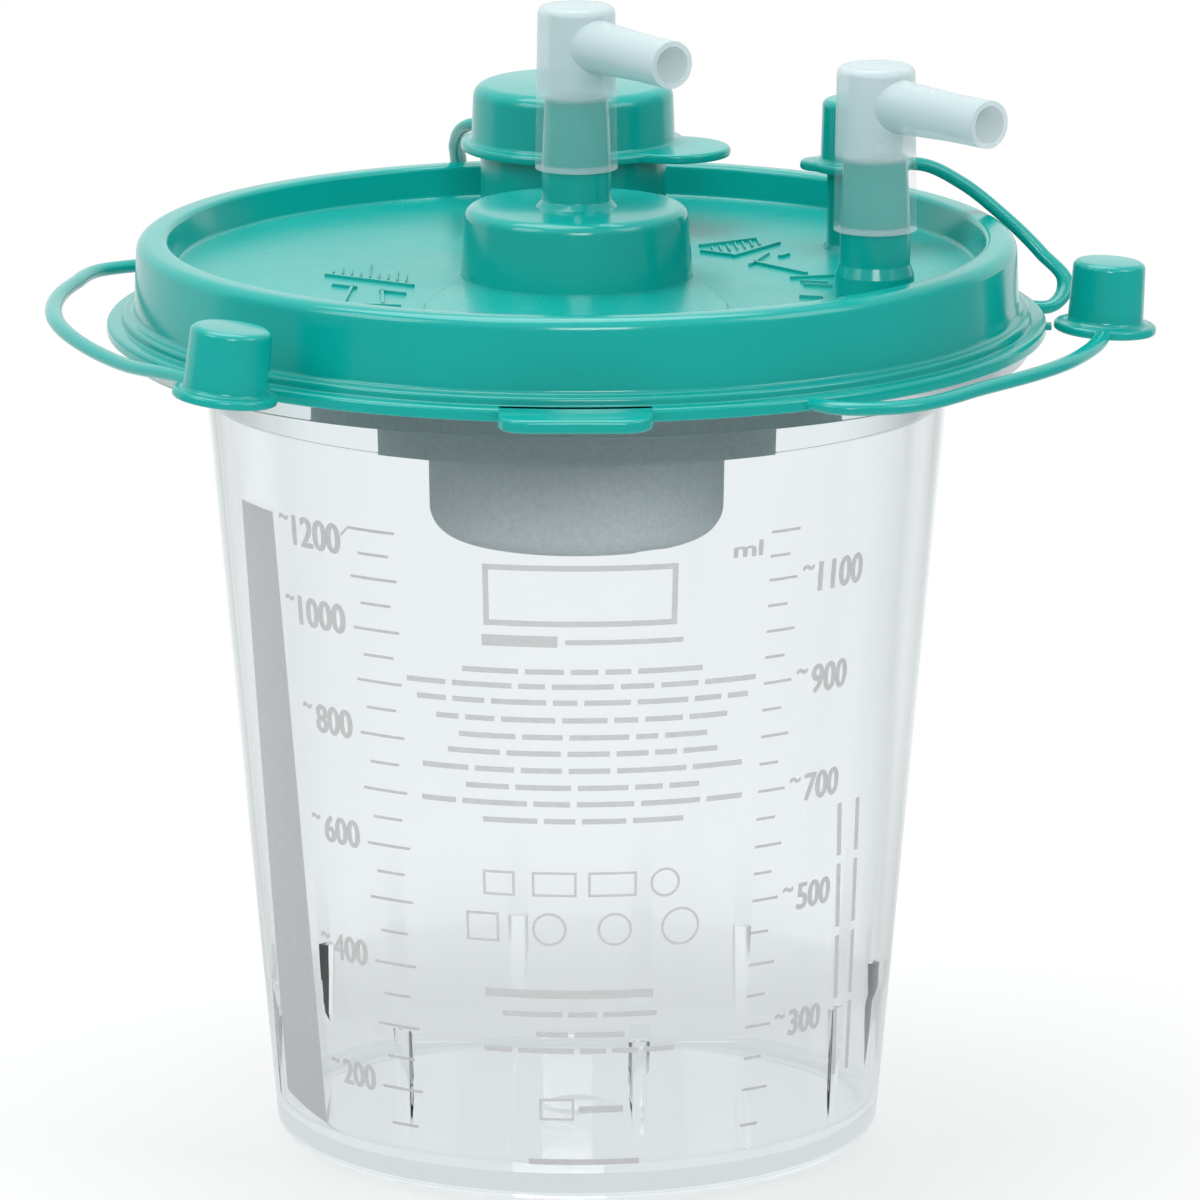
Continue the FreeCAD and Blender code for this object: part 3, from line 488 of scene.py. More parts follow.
# %% The lid's skin
disc = lathe([
    (67.6, FLOOR, 0), (WELL_RADIUS, FLOOR, 0.9), (70.3, CREST, 1.1), (75.5, CREST, 2.2),
    (76.0, SEAT + 3.8, 0.9), (78.0, SEAT + 3.8, 0.7), (78.1, SEAT + 2.3, 0.3),
    (FLANGE_RADIUS, SEAT + 2.3, 0.8), (FLANGE_RADIUS, SEAT, 0.6), (73.6, SEAT, 0.3),
    (73.6, SEAT + 14.4, 0.3), (71.6, SEAT + 14.4, 0.3), (71.6, SEAT + 1.6, 0.4),
    (70.2, SEAT + 1.6, 0.4), (70.2, UNDER, 0.8), (67.6, UNDER, 0)], 360)
boss = lathe([
    (21.4, FLOOR, 0), (19.9, FLOOR, 0.8), (19.0, BOSS_TOP, 2.0), (6.9, BOSS_TOP, 0.4),
    (NECK, BOSS_TOP + 1.1, 0.5), (NECK, VACUUM_MOUTH, 2.0), (TIP, VACUUM_MOUTH + TAPER, 0.3),
    (BORE, VACUUM_MOUTH + TAPER, 0.3), (BORE, BOSS_TOP - 1.8, 0.3), (17.2, BOSS_TOP - 1.8, 1.0),
    (18.1, UNDER, 0.2), (21.3, UNDER, 0.2), (21.3, UNDER - 7.5, 0.2), (22.9, UNDER - 7.5, 0.2),
    (22.9, UNDER, 0.2), (23.5, UNDER, 0)], 144, (0.0, BOSS_Y))
patient_port = lathe([
    (7.9, FLOOR, 0), (6.65, FLOOR, 0.7), (6.65, FLOOR + 4.5, 0.6), (NECK, FLOOR + 6.4, 0.6),
    (NECK, PATIENT_MOUTH, 2.0), (TIP, PATIENT_MOUTH + TAPER, 0.3), (BORE, PATIENT_MOUTH + TAPER, 0.3),
    (BORE, UNDER, 0.4), (4.2, UNDER, 0)], 72, PATIENT)
tandem_port = lathe([
    (7.6, FLOOR, 0), (6.75, FLOOR, 0.3), (NECK, FLOOR + 1.1, 0.4), (NECK, TANDEM_TOP, 0.4),
    (BORE, TANDEM_TOP, 0.4), (BORE, UNDER, 0.4), (4.2, UNDER, 0)], 72, TANDEM)
pour_spout = lathe([
    (17.8, FLOOR, 0), (16.3, FLOOR, 0.8), (16.3, SPOUT_TOP, 0.5), (14.6, SPOUT_TOP, 0.5),
    (14.6, UNDER, 0.5), (15.4, UNDER, 0)], 144, SPOUT)
above = plate(FLOOR, [(0, 0, 67.6, 360), (0, BOSS_Y, 21.4, 144), (*PATIENT, 7.9, 72),
                      (*TANDEM, 7.6, 72), (*SPOUT, 17.8, 144)])
below = plate(UNDER, [(0, 0, 67.6, 360), (0, BOSS_Y, 23.5, 144), (*PATIENT, 4.2, 72),
                      (*TANDEM, 4.2, 72), (*SPOUT, 15.4, 144)])

tab_reach = FLANGE_RADIUS + 8.8
tab = slab(rounded_profile([(-12.8, -77.0, 0), (-12.8, -tab_reach, 5.0), (12.8, -tab_reach, 5.0),
                            (12.8, -77.0, 0)], 12), SEAT, SEAT + 2.3, 0.7)
pad = slab(rounded_profile([(-19.6, -8.0, 0), (-25.6, -36.0, 6.0), (-26.3, -63.8, 2.0), (0.0, -69.6, 60.0),
                            (26.3, -63.8, 2.0), (25.6, -36.0, 6.0), (19.6, -8.0, 0)], 12),
           FLOOR - 0.6, FLOOR + 0.8, 0.7)


def nub(angle, low):
    """A break-off nub: a short bar from the flange towards a hanging cap."""
    bar_outline = np.array([[-1.0, -1.0], [1.7, -1.0], [1.7, 1.0], [-1.0, 1.0]])
    a = math.radians(angle)
    turn = np.array([[math.cos(a), math.sin(a)], [-math.sin(a), math.cos(a)]])
    middle = np.array([math.cos(a), math.sin(a)]) * (FLANGE_RADIUS - 0.8)
    return slab(bar_outline @ turn + middle, low, low + 1.12, 0.2)


points, faces = gather([disc, boss, patient_port, tandem_port, pour_spout, above, below, tab, pad,
                        nub(LEFT_CAP_ANGLE, SEAT + 1.17), nub(RIGHT_CAP_ANGLE, SEAT + 0.5)])
lid = make_mesh("lid_moulding", points, faces)
finish_piece(lid, teal, "lid_assembly", ["lid"], 40.0)

# %% [markdown]
# ## The caps
# Each cap is a turned skin whose flange reaches further in the direction of its thumb tab. There the
# edge's radius is the soft maximum of two circles: the flange's own and the tab's round end. Only the
# rows near the edge follow it, so the cup stays round.

# %% Cap skins


def soft_edge(turn, flange, reach, round_, towards, softness=3.0):
    """Radius of the flange by direction. A ray from the axis leaves the tab's circle at
    d cos a + sqrt(round^2 - d^2 sin^2 a), and the two radii blend where they are close."""
    d = reach - round_
    a = (turn - math.radians(towards) + math.pi) % (2 * math.pi) - math.pi
    inside = round_ ** 2 - (d * np.sin(a)) ** 2
    ray = np.where((inside > 0) & (np.cos(a) > 0), d * np.cos(a) + np.sqrt(np.maximum(inside, 0)), 0.0)
    ray = np.maximum(ray, flange - 2 * softness)
    close = np.maximum(softness - np.abs(ray - flange), 0) / softness
    return np.maximum(ray, flange) + close ** 2 * softness / 8


def cap_skin(name, body, node, place, cup, draft, height, roof, flange, inner, corner, grip=None, tilt=0.0):
    """A cap at a place; cup, flange and inner are radii, and grip is (reach, round, direction)."""
    outline = rounded_profile([
        (inner, 0, 0.3), (flange, 0, 0.5), (flange, 1.6, 0.7), (cup, 1.6, (flange - cup) * 0.5),
        (cup - draft, height, corner), (0, height, 0), (0, height - roof, 0),
        (inner, height - roof, 0.6), (inner, 0.3, 0)], 8)
    outline[0] = (inner, 0.3)
    columns = np.linspace(0, 2 * math.pi, 144, endpoint=False)
    skin = turned(outline, columns)
    if grip:
        direction = columns - math.pi / 2
        extra = soft_edge(direction, flange, *grip) - flange
        share = np.clip((outline[:, 0] - cup - 0.3) / (flange - cup - 1.1), 0, 1)
        radius = outline[:, :1] + share[:, None] * extra[None]
        skin[..., 0], skin[..., 1] = radius * np.sin(columns), -radius * np.cos(columns)
    lean = math.radians(tilt)
    x, z = skin[..., 0].copy(), skin[..., 2].copy()
    skin[..., 0] = x * math.cos(lean) + z * math.sin(lean)
    skin[..., 2] = z * math.cos(lean) - x * math.sin(lean)
    skin += np.array(place)
    piece = make_mesh(name, skin, grid_faces(len(outline), len(columns), close_columns=True))
    return finish_piece(piece, teal, body, [node], 40.0)


def hanging(angle, lift):
    a = math.radians(angle)
    return ((FLANGE_RADIUS + 10) * math.cos(a), (FLANGE_RADIUS + 10) * math.sin(a), SEAT + lift)


SPOUT_CAP_FOOT, TANDEM_CAP_FOOT = 165.3, 166.1
left_place, right_place = hanging(LEFT_CAP_ANGLE, 1.8), hanging(RIGHT_CAP_ANGLE, 0.3)
SPOUT_EDGE, SMALL_EDGE, SMALL_HEIGHT = 19.7, 8.8, 12.3
cap_skin("spout_cap_skin", "cap_spout", "pour_spout_cap", (*SPOUT, SPOUT_CAP_FOOT), 17.9, 0.4, 11.6, 1.4,
         SPOUT_EDGE, 16.38, 2.4, (28.9, 9.8, -21.5))
for name, body, node, place, cup, inner, grip, tilt in [
        ("tandem_cap_skin", "cap_tandem", "tandem_cap", (*TANDEM, TANDEM_CAP_FOOT), 7.1, 6.03,
         (10.6, 3.2, 180.0), 0.0),
        ("left_cap_skin", "cap_patient", "patient_port_cap", left_place, 7.1, 6.03, None, 6.5),
        ("right_cap_skin", "cap_vacuum", "vacuum_port_cap", right_place, 6.5, 5.43, None, 3.5)]:
    cap_skin(name, body, node, place, cup, 0.3, SMALL_HEIGHT, 1.2, SMALL_EDGE, inner, 1.2, grip, tilt)

# %% [markdown]
# ## The elbows and the filter
# These keep their CAD shapes, which hold the fits, and get their finishes here.

# %% Finishes of the carried-over nodes
CARRIED = {"filter_cup": None, "vacuum_elbow": VACUUM_MOUTH, "patient_elbow": PATIENT_MOUTH}
for name, mouth in CARRIED.items():
    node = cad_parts[name]
    material = porous
    if mouth:
        own = node.matrix_world.inverted()
        foot, tip = ((own @ Vector((0, 0, height * MM))).z for height in (mouth, mouth + TAPER))
        material = frosted_plastic(f"frosted_polyethylene_{name}", foot, tip)
    for entry in node.material_slots:
        entry.material = material
    print(name, len(node.data.polygons), "triangles")

# %% [markdown]
# ## Straps
# Each cap is tied to the lid by a soft strap moulded with both. A strap is an oval section carried
# along a smooth line through the places where the CAD strap runs. The line is a chain of cubic
# curves whose tangents follow the neighbouring points.

# %% Sweeping a section along a line


def smooth_line(points, steps=14):
    """Cubic curves through the points: each tangent runs from the point before to the point after."""
    points = np.asarray(points, float)
    ends = np.vstack([2 * points[0] - points[1], points, 2 * points[-1] - points[-2]])
    gaps = np.linalg.norm(np.diff(ends, axis=0), axis=1)
    along = np.diff(ends, axis=0) / gaps[:, None]
    tangent = along[:-1] * gaps[1:, None] + along[1:] * gaps[:-1, None]
    tangent /= np.linalg.norm(tangent, axis=1)[:, None]
    t = np.linspace(0, 1, steps, endpoint=False)[None, :, None]
    length = gaps[1:-1, None, None]
    p0, p1 = points[:-1, None], points[1:, None]
    m0, m1 = tangent[:-1, None] * length, tangent[1:, None] * length
    curve = ((2 * t ** 3 - 3 * t ** 2 + 1) * p0 + (t ** 3 - 2 * t ** 2 + t) * m0
             + (3 * t ** 2 - 2 * t ** 3) * p1 + (t ** 3 - t ** 2) * m1)
    return np.vstack([curve.reshape(-1, 3), points[-1:]])


def swept_strap(name, line, half_width, half_height, turns=20):
    """An oval carried along a line: at each point the section lies across the line's direction,
    its wide way level and its thin way square to both. The two ends close on their centres."""
    direction = np.gradient(line, axis=0)
    direction /= np.linalg.norm(direction, axis=1)[:, None]
    level = np.cross(direction, np.array([0.0, 0.0, 1.0]))
    short = np.linalg.norm(level, axis=1)[:, None]
    level = np.where(short > 0.15, level / np.maximum(short, 1e-9), np.nan)
    known = np.where(np.isfinite(level[:, 0]))[0]
    nearest = known[np.abs(np.arange(len(line))[:, None] - known[None, :]).argmin(1)]
    level = level[nearest]
    level -= direction * np.sum(level * direction, 1)[:, None]
    level /= np.linalg.norm(level, axis=1)[:, None]
    upright = np.cross(level, direction)
    a = np.linspace(0, 2 * math.pi, turns, endpoint=False)[None, :, None]
    oval = (line[:, None] + level[:, None] * np.cos(a) * half_width
            + upright[:, None] * np.sin(a) * half_height)
    first = np.repeat(line[:1, None], turns, 1)
    last = np.repeat(line[-1:, None], turns, 1)
    rings = np.concatenate([first, oval, last], 0)
    return make_mesh(name, rings, grid_faces(len(rings), turns, close_columns=True))


# %% Where the straps run
FLANGE_MIDDLE = SEAT + 1.15
STRAP_HALF_WIDTH, STRAP_HALF_HEIGHT = 1.5, 1.15


def from_lid(beyond, angle, above):
    """A place beyond the lid's flange, by direction from +X and height above its middle."""
    r, a = FLANGE_RADIUS + beyond, math.radians(angle)
    return [r * math.cos(a), r * math.sin(a), FLANGE_MIDDLE + above]


def from_cap(centre, edge, beyond, angle, above):
    """A place beyond the flange of a cap, by direction from +X and height above its middle."""
    r, a = edge + beyond, math.radians(angle)
    return [centre[0] + r * math.cos(a), centre[1] + r * math.sin(a), centre[2] + above]


SPOUT_CAP = (*SPOUT, SPOUT_CAP_FOOT + 0.8)
TANDEM_CAP = (*TANDEM, TANDEM_CAP_FOOT + 0.8)
PATIENT_CAP = (left_place[0], left_place[1], left_place[2] + 0.8)
VACUUM_CAP = (right_place[0], right_place[1], right_place[2] + 0.8)
STRAP_LINES = {
    "spout": ([from_lid(*p) for p in [(-1.4, 104.8, 0), (2.3, 104.8, 0), (6.0, 104.8, 3.75),
                                      (4.2, 104.6, 12.0), (-2.0, 105.9, 17.8)]]
              + [from_cap(SPOUT_CAP, SPOUT_EDGE, *p) for p in
                 [(7.0, 129.5, -0.2), (2.4, 128.5, 0.05), (-2.0, 128, 0)]]),
    "tandem": ([from_lid(*p) for p in [(-1.25, 9.9, 0), (2.7, 9.9, 0), (5.9, 11.6, 3.2),
                                       (2.4, 14.0, 8.3), (-3.9, 16.2, 14.9), (-10.9, 17.5, 20.6)]]
               + [from_cap(TANDEM_CAP, SMALL_EDGE, *p) for p in [(2.0, 8.5, -0.4), (-1.0, 6.5, 0)]]),
    "patient": ([from_lid(*p) for p in [(-1.2, 143, 0), (6.0, 143, 0), (14.2, 150.5, 0.4),
                                        (12.4, 161, 0.8), (8.8, 182, 1.0), (4.8, 207, 0.4)]]
                + [from_cap(PATIENT_CAP, SMALL_EDGE, *p) for p in [(1.8, 121, 0.5), (-1.0, 121, 0.4)]]),
    "vacuum": ([from_lid(*p) for p in [(-1.25, -61, 0), (4.7, -59.4, 0), (8.0, -54.9, -0.2),
                                       (7.0, -38.3, -0.3), (9.1, -20.4, -0.3)]]
               + [from_cap(VACUUM_CAP, SMALL_EDGE, *p) for p in [(1.8, -96, 0), (-1.0, -96, 0)]]),
}
for name, places in STRAP_LINES.items():
    strap = swept_strap(f"{name}_strap", smooth_line(places), STRAP_HALF_WIDTH, STRAP_HALF_HEIGHT)
    finish_piece(strap, teal, None, [f"{name}_cap_strap"], 60.0)
    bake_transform(strap)

# %% [markdown]
# ## The printed scale
# A mark is a thin sheet that follows the jar's cone a twentieth of a millimetre outside it. Its two
# parameters are the direction round the jar and the height. All marks of one colour are one mesh.

# %% Patches on the wall
INK = 0.06


def on_wall(azimuth, height, lift=INK):
    """Points on the jar's cone, by direction from the front and height, a little outside it."""
    r = wall_radius(height) + lift
    return np.stack([r * np.sin(azimuth), -r * np.cos(azimuth), height], -1)


def patches(name, corners, material, across=8, up=2):
    """Many four-cornered patches as one mesh. Corners are (azimuth, height) pairs in degrees and
    millimetres; inside a patch both run evenly from side to side, so its edges lie on the cone."""
    corners = np.asarray(corners, float)
    u = np.linspace(0, 1, across)[None, None, :, None]
    v = np.linspace(0, 1, up)[None, :, None, None]
    a, b, c, d = (corners[:, k][:, None, None] for k in range(4))
    flat = (a * (1 - u) + b * u) * (1 - v) + (d * (1 - u) + c * u) * v
    points = on_wall(np.radians(flat[..., 0]), flat[..., 1])
    one = grid_faces(up, across)
    faces = (one[None] + (np.arange(len(corners)) * across * up)[:, None, None]).reshape(-1, 4)
    piece = make_mesh(name, points, faces, weld=False)
    return finish_piece(piece, material, "jar")


def bar(azimuth_from, azimuth_to, height, thick):
    """The four corners of a level mark."""
    low, high = height - thick / 2, height + thick / 2
    return [(azimuth_from, low), (azimuth_to, low), (azimuth_to, high), (azimuth_from, high)]


# %% Marks from 1200 ml down to 150 ml
VOLUMES = np.array([200, 300, 400, 500, 600, 700, 800, 900, 1000, 1100, 1200])
HEIGHTS = np.array([18.3, 29.6, 40.7, 52.2, 61.8, 71.6, 81.3, 90.7, 99.8, 108.8, 117.2])
marks = []
for volume in range(150, 1201, 50):
    height = float(np.interp(volume, VOLUMES, HEIGHTS)) if volume >= 200 else 11.9
    long_mark = volume % 100 == 0
    marks.append(bar(-37.8, -29.1, height, 0.5) if long_mark else bar(-36.1, -30.4, height, 0.5))
    marks.append(bar(31.6, 37.0 if long_mark else 35.3, height, 0.5))
marks.append([(-37.8, 116.95), (-37.8, 117.45), (-39.35, 115.85), (-39.15, 115.45)])
patches("scale_marks", marks, scale_ink)

# %% [markdown]
# ## Numbers
# The numbers name every second mark on the left and the others on the right. Text gives their
# outlines, which are made bolder across than along. The mesh is then cut fine and wrapped on the
# cone so that it fills a box of directions and heights.

# %% Numbers on the wall


def fitted_text(words, west, east, low, high, bolder=(0.05, 0.02)):
    """Points and triangles of text on the cone. Every point of an open edge moves outwards along
    the sum of its edges' normals; then the shares of the width and height become a direction and
    a height between the box's sides."""
    curve = bpy.data.curves.new("words", "FONT")
    curve.body = words
    curve.resolution_u = 4
    label = bpy.data.objects.new("words", curve)
    bpy.context.scene.collection.objects.link(label)
    depsgraph = bpy.context.evaluated_depsgraph_get()
    mesh = bpy.data.meshes.new_from_object(label.evaluated_get(depsgraph))
    bpy.data.objects.remove(label)
    work = bmesh.new()
    work.from_mesh(mesh)
    bmesh.ops.remove_doubles(work, verts=work.verts, dist=1e-5)
    bmesh.ops.triangulate(work, faces=work.faces)
    bmesh.ops.subdivide_edges(work, edges=[e for e in work.edges if e.calc_length() > 0.25], cuts=1)
    bmesh.ops.triangulate(work, faces=work.faces)
    work.to_mesh(mesh)
    work.free()
    mesh.calc_loop_triangles()
    flat = np.empty(len(mesh.vertices) * 3, np.float32)
    mesh.vertices.foreach_get("co", flat)
    flat = flat.reshape(-1, 3)[:, :2].astype(float)
    triangles = np.empty(len(mesh.loop_triangles) * 3, np.int32)
    mesh.loop_triangles.foreach_get("vertices", triangles)
    triangles = triangles.reshape(-1, 3)
    bpy.data.meshes.remove(mesh)
    edges = np.concatenate([triangles[:, [0, 1]], triangles[:, [1, 2]], triangles[:, [2, 0]]])
    open_edges = edges[~np.isin(edges[:, 1] * len(flat) + edges[:, 0], edges[:, 0] * len(flat) + edges[:, 1])]
    along = flat[open_edges[:, 1]] - flat[open_edges[:, 0]]
    out = np.stack([along[:, 1], -along[:, 0]], -1) / np.linalg.norm(along, axis=1)[:, None]
    normal = np.zeros_like(flat)
    np.add.at(normal, open_edges[:, 0], out)
    np.add.at(normal, open_edges[:, 1], out)
    flat += normal / np.maximum(np.linalg.norm(normal, axis=1), 0.5)[:, None] * np.array(bolder)
    share = (flat - flat.min(0)) / (flat.max(0) - flat.min(0))
    points = on_wall(np.radians(west + (east - west) * share[:, 0]), low + (high - low) * share[:, 1])
    return points, np.column_stack([triangles, np.full(len(triangles), -1)])


words = []
for volume in range(200, 1201, 100):
    height = float(np.interp(volume, VOLUMES, HEIGHTS))
    half = np.interp(volume, [200, 1200], [2.3, 2.75])
    if volume % 200 == 0:
        west, east = (-50.3, -39.4) if volume >= 1000 else (-47.9, -39.4)
        middle = height - 2.45 if volume == 1200 else height + 0.9
    else:
        west, east = (41.2, 51.6) if volume >= 1000 else (41.2, 49.6)
        middle = height - 0.7
    words.append(fitted_text(str(volume), west, east, middle - half, middle + half))
    words.append(fitted_text("~", west - 3.2, west - 0.8, middle + half - 1.4, middle + half - 0.3))
words.append(fitted_text("ml", 25.0, 30.2, 113.4, 116.2, (0.03, 0.02)))
numbers = make_mesh("scale_numbers", *gather(words), weld=False)
finish_piece(numbers, scale_ink, "jar")

# %% [markdown]
# ## The write-on strip and the notes panel
# A plain grey strip for handwriting runs down the left side. The middle has a plain panel for notes
# in a paler ink: a blank name frame, ruled rows of dashes, tick boxes and rings, and two upright
# rows at the right.

# %% Strip and panel
patches("write_on_strip", [[(-70.4, 10.9), (-54.3, 8.3), (-55.2, 116.9), (-65.4, 117.0)]], strip_ink,
        across=24, up=30)


def dashes(west, east, height, thick, seed):
    """A ruled row of dashes between two directions: long dashes and short gaps, in a fixed order."""
    lengths = np.random.default_rng(seed).uniform(3.0, 9.5, 20)
    ends = np.cumsum(lengths + 1.1)
    count = max(1, int(np.searchsorted(ends, east - west)))
    ends = ends[:count] * (east - west + 1.1) / ends[count - 1]
    starts = np.concatenate([[0.0], ends[:-1]])
    return [bar(west + a, west + b - 1.1, height, thick) for a, b in zip(starts.tolist(), ends.tolist())]


def box_outline(west, east, low, high, line):
    """Four bars round a box; the line is in millimetres, so it is wider in degrees at the sides."""
    side = math.degrees(line / wall_radius((low + high) / 2))
    return [bar(west, east, low + line / 2, line), bar(west, east, high - line / 2, line),
            [(west, low), (west + side, low), (west + side, high), (west, high)],
            [(east - side, low), (east, low), (east, high), (east - side, high)]]


def ring_outline(azimuth, height, radius, line, sides=28):
    """A ring as patches between two circles; degrees are millimetres over the wall's radius."""
    t = np.linspace(0, 2 * math.pi, sides + 1)
    across = math.degrees(1 / wall_radius(height))
    circles = [np.stack([azimuth + across * r * np.cos(t), height + r * np.sin(t)], -1)
               for r in (radius - line, radius)]
    return np.stack([circles[0][:-1], circles[1][:-1], circles[1][1:], circles[0][1:]], 1).tolist()


ROWS = [(94.8, -18.4, 20.5), (92.2, -28.1, 30.0), (89.4, -26.4, 28.7), (86.3, -23.1, 25.1),
        (83.3, -19.3, 21.7), (80.4, -21.3, 23.6), (77.4, -25.9, 28.2), (74.4, -18.4, 20.6),
        (71.5, -26.3, 28.5), (68.5, -15.6, 18.0), (34.1, -13.0, 14.3), (30.5, -7.1, 8.6),
        (27.6, -16.5, 17.8)]
panel = box_outline(-14.6, 16.0, 102.7, 113.4, 1.0) + box_outline(-6.7, -0.4, 15.1, 19.0, 0.4)
panel += [bar(-15.0, -2.9, 100.1, 2.0), bar(-1.7, 17.1, 100.0, 0.9), bar(-16.1, 13.5, 37.7, 1.5),
          bar(0.4, 8.5, 17.1, 1.2), bar(-8.8, 11.6, 7.6, 1.0)]
for row, (height, west, east) in enumerate(ROWS):
    panel += dashes(west, east, height, 0.95, row)
for west, east in [(-15.9, -10.4), (-7.5, 0.1), (2.0, 10.3)]:
    panel += box_outline(west, east, 55.1, 59.5, 0.45)
panel += box_outline(-19.1, -13.3, 46.8, 52.0, 0.45) + ring_outline(15.2, 57.3, 2.6, 0.45)
for azimuth, radius in [(-4.6, 2.95), (6.6, 2.95), (18.1, 3.4)]:
    panel += ring_outline(azimuth, 49.3, radius, 0.45)
steps = np.array([66.5, 57.0, 55.5, 44.0, 42.5, 31.0, 29.5, 17.0]).reshape(-1, 2)
for top, bottom in [(50.4, 55.6), (55.6, 60.2)]:
    lean = np.interp(steps, [13.0, 67.0], [bottom, top])
    panel += [[(a1 - 0.6, z1), (a1 + 0.6, z1), (a0 + 0.6, z0), (a0 - 0.6, z0)]
              for (a0, a1), (z0, z1) in zip(lean.tolist(), steps.tolist())]
patches("notes_panel", panel, panel_ink)

# %% [markdown]
# ## Raised marks on the lid
# The lid's floor carries small raised signs. These are plain bars and ticks: a scale-like comb and
# a bar with feet, half a millimetre high with sloped sides.

# %% Raised bars on the lid's floor


def raised_bars(name, bars):
    """Low bars as one mesh. Each is (x0, y0, x1, y1, width): a box round the line between its ends
    whose upper four points are drawn in by 0.15 mm, so that the sides slope."""
    bars = np.asarray(bars, float)
    start, end, half = bars[:, 0:2], bars[:, 2:4], bars[:, 4:5] / 2
    along = (end - start) / np.linalg.norm(end - start, axis=1)[:, None]
    beside = np.stack([-along[:, 1], along[:, 0]], -1)
    rings = []
    for draw, z in [(0.0, FLOOR - 0.3), (0.15, FLOOR + 0.5)]:
        long_, wide = half - draw, half - draw
        ring = np.stack([start - along * long_ - beside * wide, end + along * long_ - beside * wide,
                         end + along * long_ + beside * wide, start - along * long_ + beside * wide], 1)
        rings.append(np.concatenate([ring, np.full((len(bars), 4, 1), z)], -1))
    box = np.array([[0, 3, 2, 1], [4, 5, 6, 7], [0, 1, 5, 4], [1, 2, 6, 5], [2, 3, 7, 6], [3, 0, 4, 7]])
    faces = (box[None] + (np.arange(len(bars)) * 8)[:, None, None]).reshape(-1, 4)
    piece = make_mesh(name, np.concatenate(rings, 1), faces, weld=False)
    return finish_piece(piece, teal, "lid_assembly")


feet = np.linspace([-41.6, -8.0], [-29.0, -16.0], 9)
lengths = np.array([3.2, 6.2, 5.4, 4.6, 13.0, 5.6, 5.8, 9.0, 7.4])
comb = np.column_stack([feet + [0, 1.0], feet + np.stack([0 * lengths, lengths], -1), np.full(9, 0.5)])
stand = np.array([(-42.6, -8.5, -28.0, -17.9, 0.9), (-41.2, -17.6, -37.6, -19.7, 0.8),
                  (-38.1, -19.6, -39.2, -33.8, 0.8), (-32.9, -23.0, -32.6, -34.0, 0.8),
                  (-33.0, -22.9, -29.2, -25.2, 0.8), (-41.4, -33.8, -37.6, -35.8, 0.8),
                  (-35.9, -35.2, -29.8, -36.2, 0.8)])
raised_bars("left_raised_marks", np.vstack([comb, stand]))
feet = np.linspace([23.4, 16.6], [31.4, 23.4], 7)
hands = np.column_stack([feet, feet + [0.4, -4.6], np.full(7, 0.55)])
bars = np.array([(21.4, 18.4, 31.0, 24.6, 0.6), (27.2, 9.0, 35.0, 20.8, 0.8), (21.8, 13.2, 27.0, 9.6, 0.9),
                 (29.9, 1.0, 33.0, 11.0, 0.8), (30.7, 3.0, 39.1, -6.8, 0.9), (35.2, 8.6, 36.4, 10.2, 0.9),
                 (36.7, -11.0, 43.8, -9.4, 0.7), (38.9, -17.2, 43.2, -18.7, 0.7),
                 (38.4, -14.4, 42.6, -15.4, 0.7), (38.0, -27.6, 41.4, -28.6, 0.7)])
raised_bars("right_raised_marks", np.vstack([hands, bars]))

# %% [markdown]
# ## Studio
# The floor and the backdrop are plain and pale. Broad lamps from above, both sides and the front
# light the object softly. The camera sees white behind the object. Gloss and clear plastic see white
# behind it and above, and less towards the sides and the front, which draws the clear jar's edges.

# %% Floor and world


def seen_in_gloss(add, direction):
    """What glossy plastic mirrors: white behind the object, dim in front and at the sides. The side
    is y - 0.21 x of the direction, so the white reaches further round on the left."""
    part = add("ShaderNodeSeparateXYZ", {0: direction}).outputs
    lean = calculate(add, "MULTIPLY_ADD", part["X"], -0.21, part["Y"])
    behind = step_between(add, lean, 0.36, 0.52, 0.34, 1.0)
    above = step_between(add, part["Z"], 0.25, 0.6, 0.0, 0.85)
    return calculate(add, "MAXIMUM", behind, above)


def dimmed_aside(add, value, direction, path, share):
    """The value, less for rays that clear plastic has thrown far to a side, which draws its edges.
    The side is the size of x of the direction; share says where this counts."""
    across = calculate(add, "ABSOLUTE", add("ShaderNodeSeparateXYZ", {0: direction}).outputs["X"])
    dim = step_between(add, across, 0.20, 0.42, 0.0, 0.45)
    loss = calculate(add, "MULTIPLY", calculate(add, "MULTIPLY", dim, path["Is Transmission Ray"]), share)
    return calculate(add, "MULTIPLY", value, calculate(add, "SUBTRACT", 1.0, loss))


def white_share(add, path):
    """One for the rays that see the white: the camera's, and those through clear plastic."""
    return calculate(add, "MAXIMUM", path["Is Camera Ray"], path["Is Transmission Ray"])


WHITE, GLOSS_TINT = (1.0, 1.0, 1.0, 1.0), (0.95, 0.99, 1.0, 1.0)
sheet = make_mesh("floor", np.array([[-3000, -3000, -0.2], [3000, -3000, -0.2], [3000, 3000, -0.2],
                                     [-3000, 3000, -0.2]], float), np.array([[0, 1, 2, 3]]))
floor_finish, shader, add, links = new_material("pale_floor")
shader.inputs["Base Color"].default_value = (0.82, 0.82, 0.82, 1.0)
shader.inputs["Roughness"].default_value = 0.6
place = add("ShaderNodeTexCoord").outputs["Object"]
path = add("ShaderNodeLightPath").outputs
away = add("ShaderNodeVectorMath", {0: place}, operation="LENGTH").outputs["Value"]
near = step_between(add, away, 0.06, 0.26, 0.55, 1.0)
level = add("ShaderNodeVectorMath", {0: place}, operation="NORMALIZE").outputs["Vector"]
far = step_between(add, away, 0.10, 0.30, 0.0, 1.0)
mirrored = add("ShaderNodeMix", {"Factor": far, "B": seen_in_gloss(add, level)}, data_type="FLOAT")
mirrored.inputs["A"].default_value = 0.76
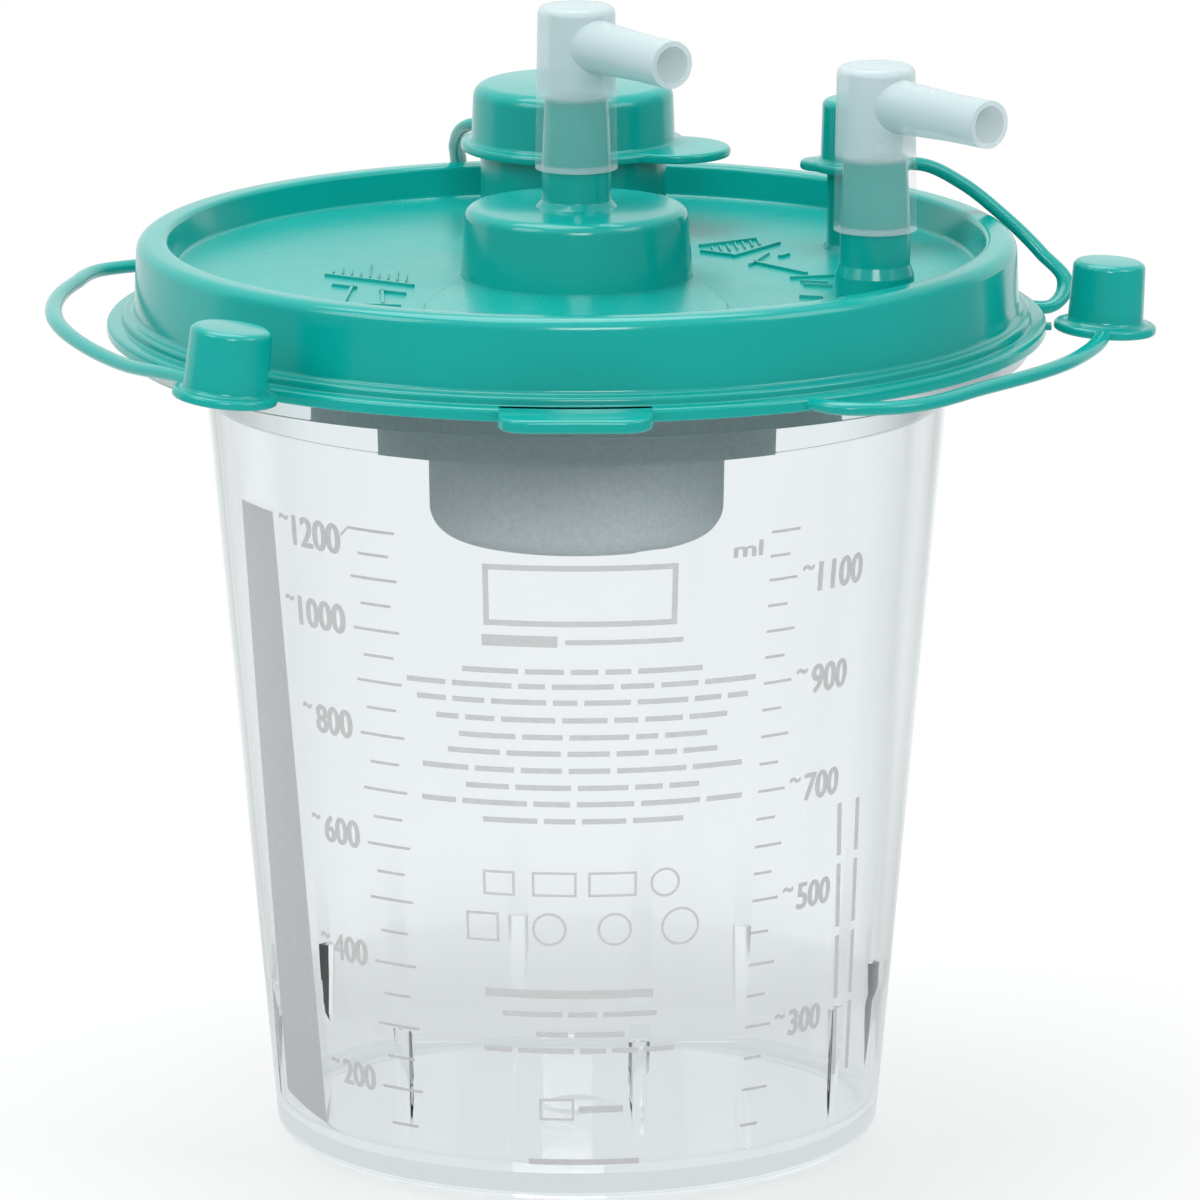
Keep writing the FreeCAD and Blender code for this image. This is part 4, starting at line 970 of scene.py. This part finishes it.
mirrored = dimmed_aside(add, mirrored.outputs[0], level, path, far)
white = add("ShaderNodeEmission", {"Color": WHITE, "Strength": 1.0})
gloss = add("ShaderNodeEmission", {"Color": GLOSS_TINT, "Strength": mirrored})
plain = add("ShaderNodeMixShader", {0: calculate(add, "MULTIPLY", white_share(add, path), near),
                                    1: shader.outputs["BSDF"], 2: white.outputs["Emission"]})
floor_mix = add("ShaderNodeMixShader", {0: path["Is Glossy Ray"], 1: plain.outputs["Shader"],
                                        2: gloss.outputs["Emission"]})
links.new(floor_mix.outputs["Shader"], floor_finish.node_tree.nodes["Material Output"].inputs["Surface"])
sheet.data.materials.append(floor_finish)

world = bpy.data.worlds.new("studio")
bpy.context.scene.world = world
world.use_nodes = True
add = node_adder(world.node_tree)
path = add("ShaderNodeLightPath").outputs
ambient = world.node_tree.nodes["Background"]
ambient.inputs["Color"].default_value = (0.94, 0.97, 1.0, 1.0)
ambient.inputs["Strength"].default_value = 0.56
out_there = add("ShaderNodeTexCoord").outputs["Generated"]
white = add("ShaderNodeBackground", {"Color": WHITE, "Strength": 1.0})
gloss = add("ShaderNodeBackground", {"Color": GLOSS_TINT, "Strength": seen_in_gloss(add, out_there)})
plain = add("ShaderNodeMixShader", {0: white_share(add, path), 1: ambient.outputs[0], 2: white.outputs[0]})
final = add("ShaderNodeMixShader", {0: path["Is Glossy Ray"], 1: plain.outputs[0], 2: gloss.outputs[0]})
world.node_tree.links.new(final.outputs[0], world.node_tree.nodes["World Output"].inputs["Surface"])

# %% Lamps


def lamp(name, place, target, size, watts):
    """A square area lamp, in millimetres, aimed at a target."""
    light = bpy.data.lights.new(name, "AREA")
    light.shape = "RECTANGLE"
    light.size, light.size_y = size[0] * MM, size[1] * MM
    light.energy = watts
    holder = bpy.data.objects.new(name, light)
    place, target = np.array(place, float) * MM, np.array(target, float) * MM
    holder.location = place
    holder.rotation_euler = Vector(target - place).to_track_quat("-Z", "Y").to_euler()
    bpy.context.scene.collection.objects.link(holder)


lamp("top_softbox", (-100, 150, 1100), (0, 0, 120), (900, 700), 7.5)
lamp("left_softbox", (-750, -450, 800), (0, 0, 110), (500, 500), 2.4)
lamp("right_softbox", (780, -350, 780), (0, 0, 110), (500, 500), 2.0)
lamp("front_softbox", (100, -1400, 750), (0, 0, 120), (500, 350), 5.5)

# %% [markdown]
# ## Camera
# The photograph was taken with a long lens from a little above. The lens, distance and pitch were
# fitted to the ellipses of the rim and the foot.

# %% Camera
view = bpy.data.cameras.new("photo_view")
view.lens = 299.87
view.sensor_width = 36.0
view.clip_end = 20.0
eye = bpy.data.objects.new("photo_view", view)
eye.location = (0.00401, -1.68737, 0.47470)
eye.rotation_euler = (math.radians(90 - 12.7292), 0, 0)
bpy.context.scene.collection.objects.link(eye)
bpy.context.scene.camera = eye
bpy.context.scene.view_settings.view_transform = "Standard"
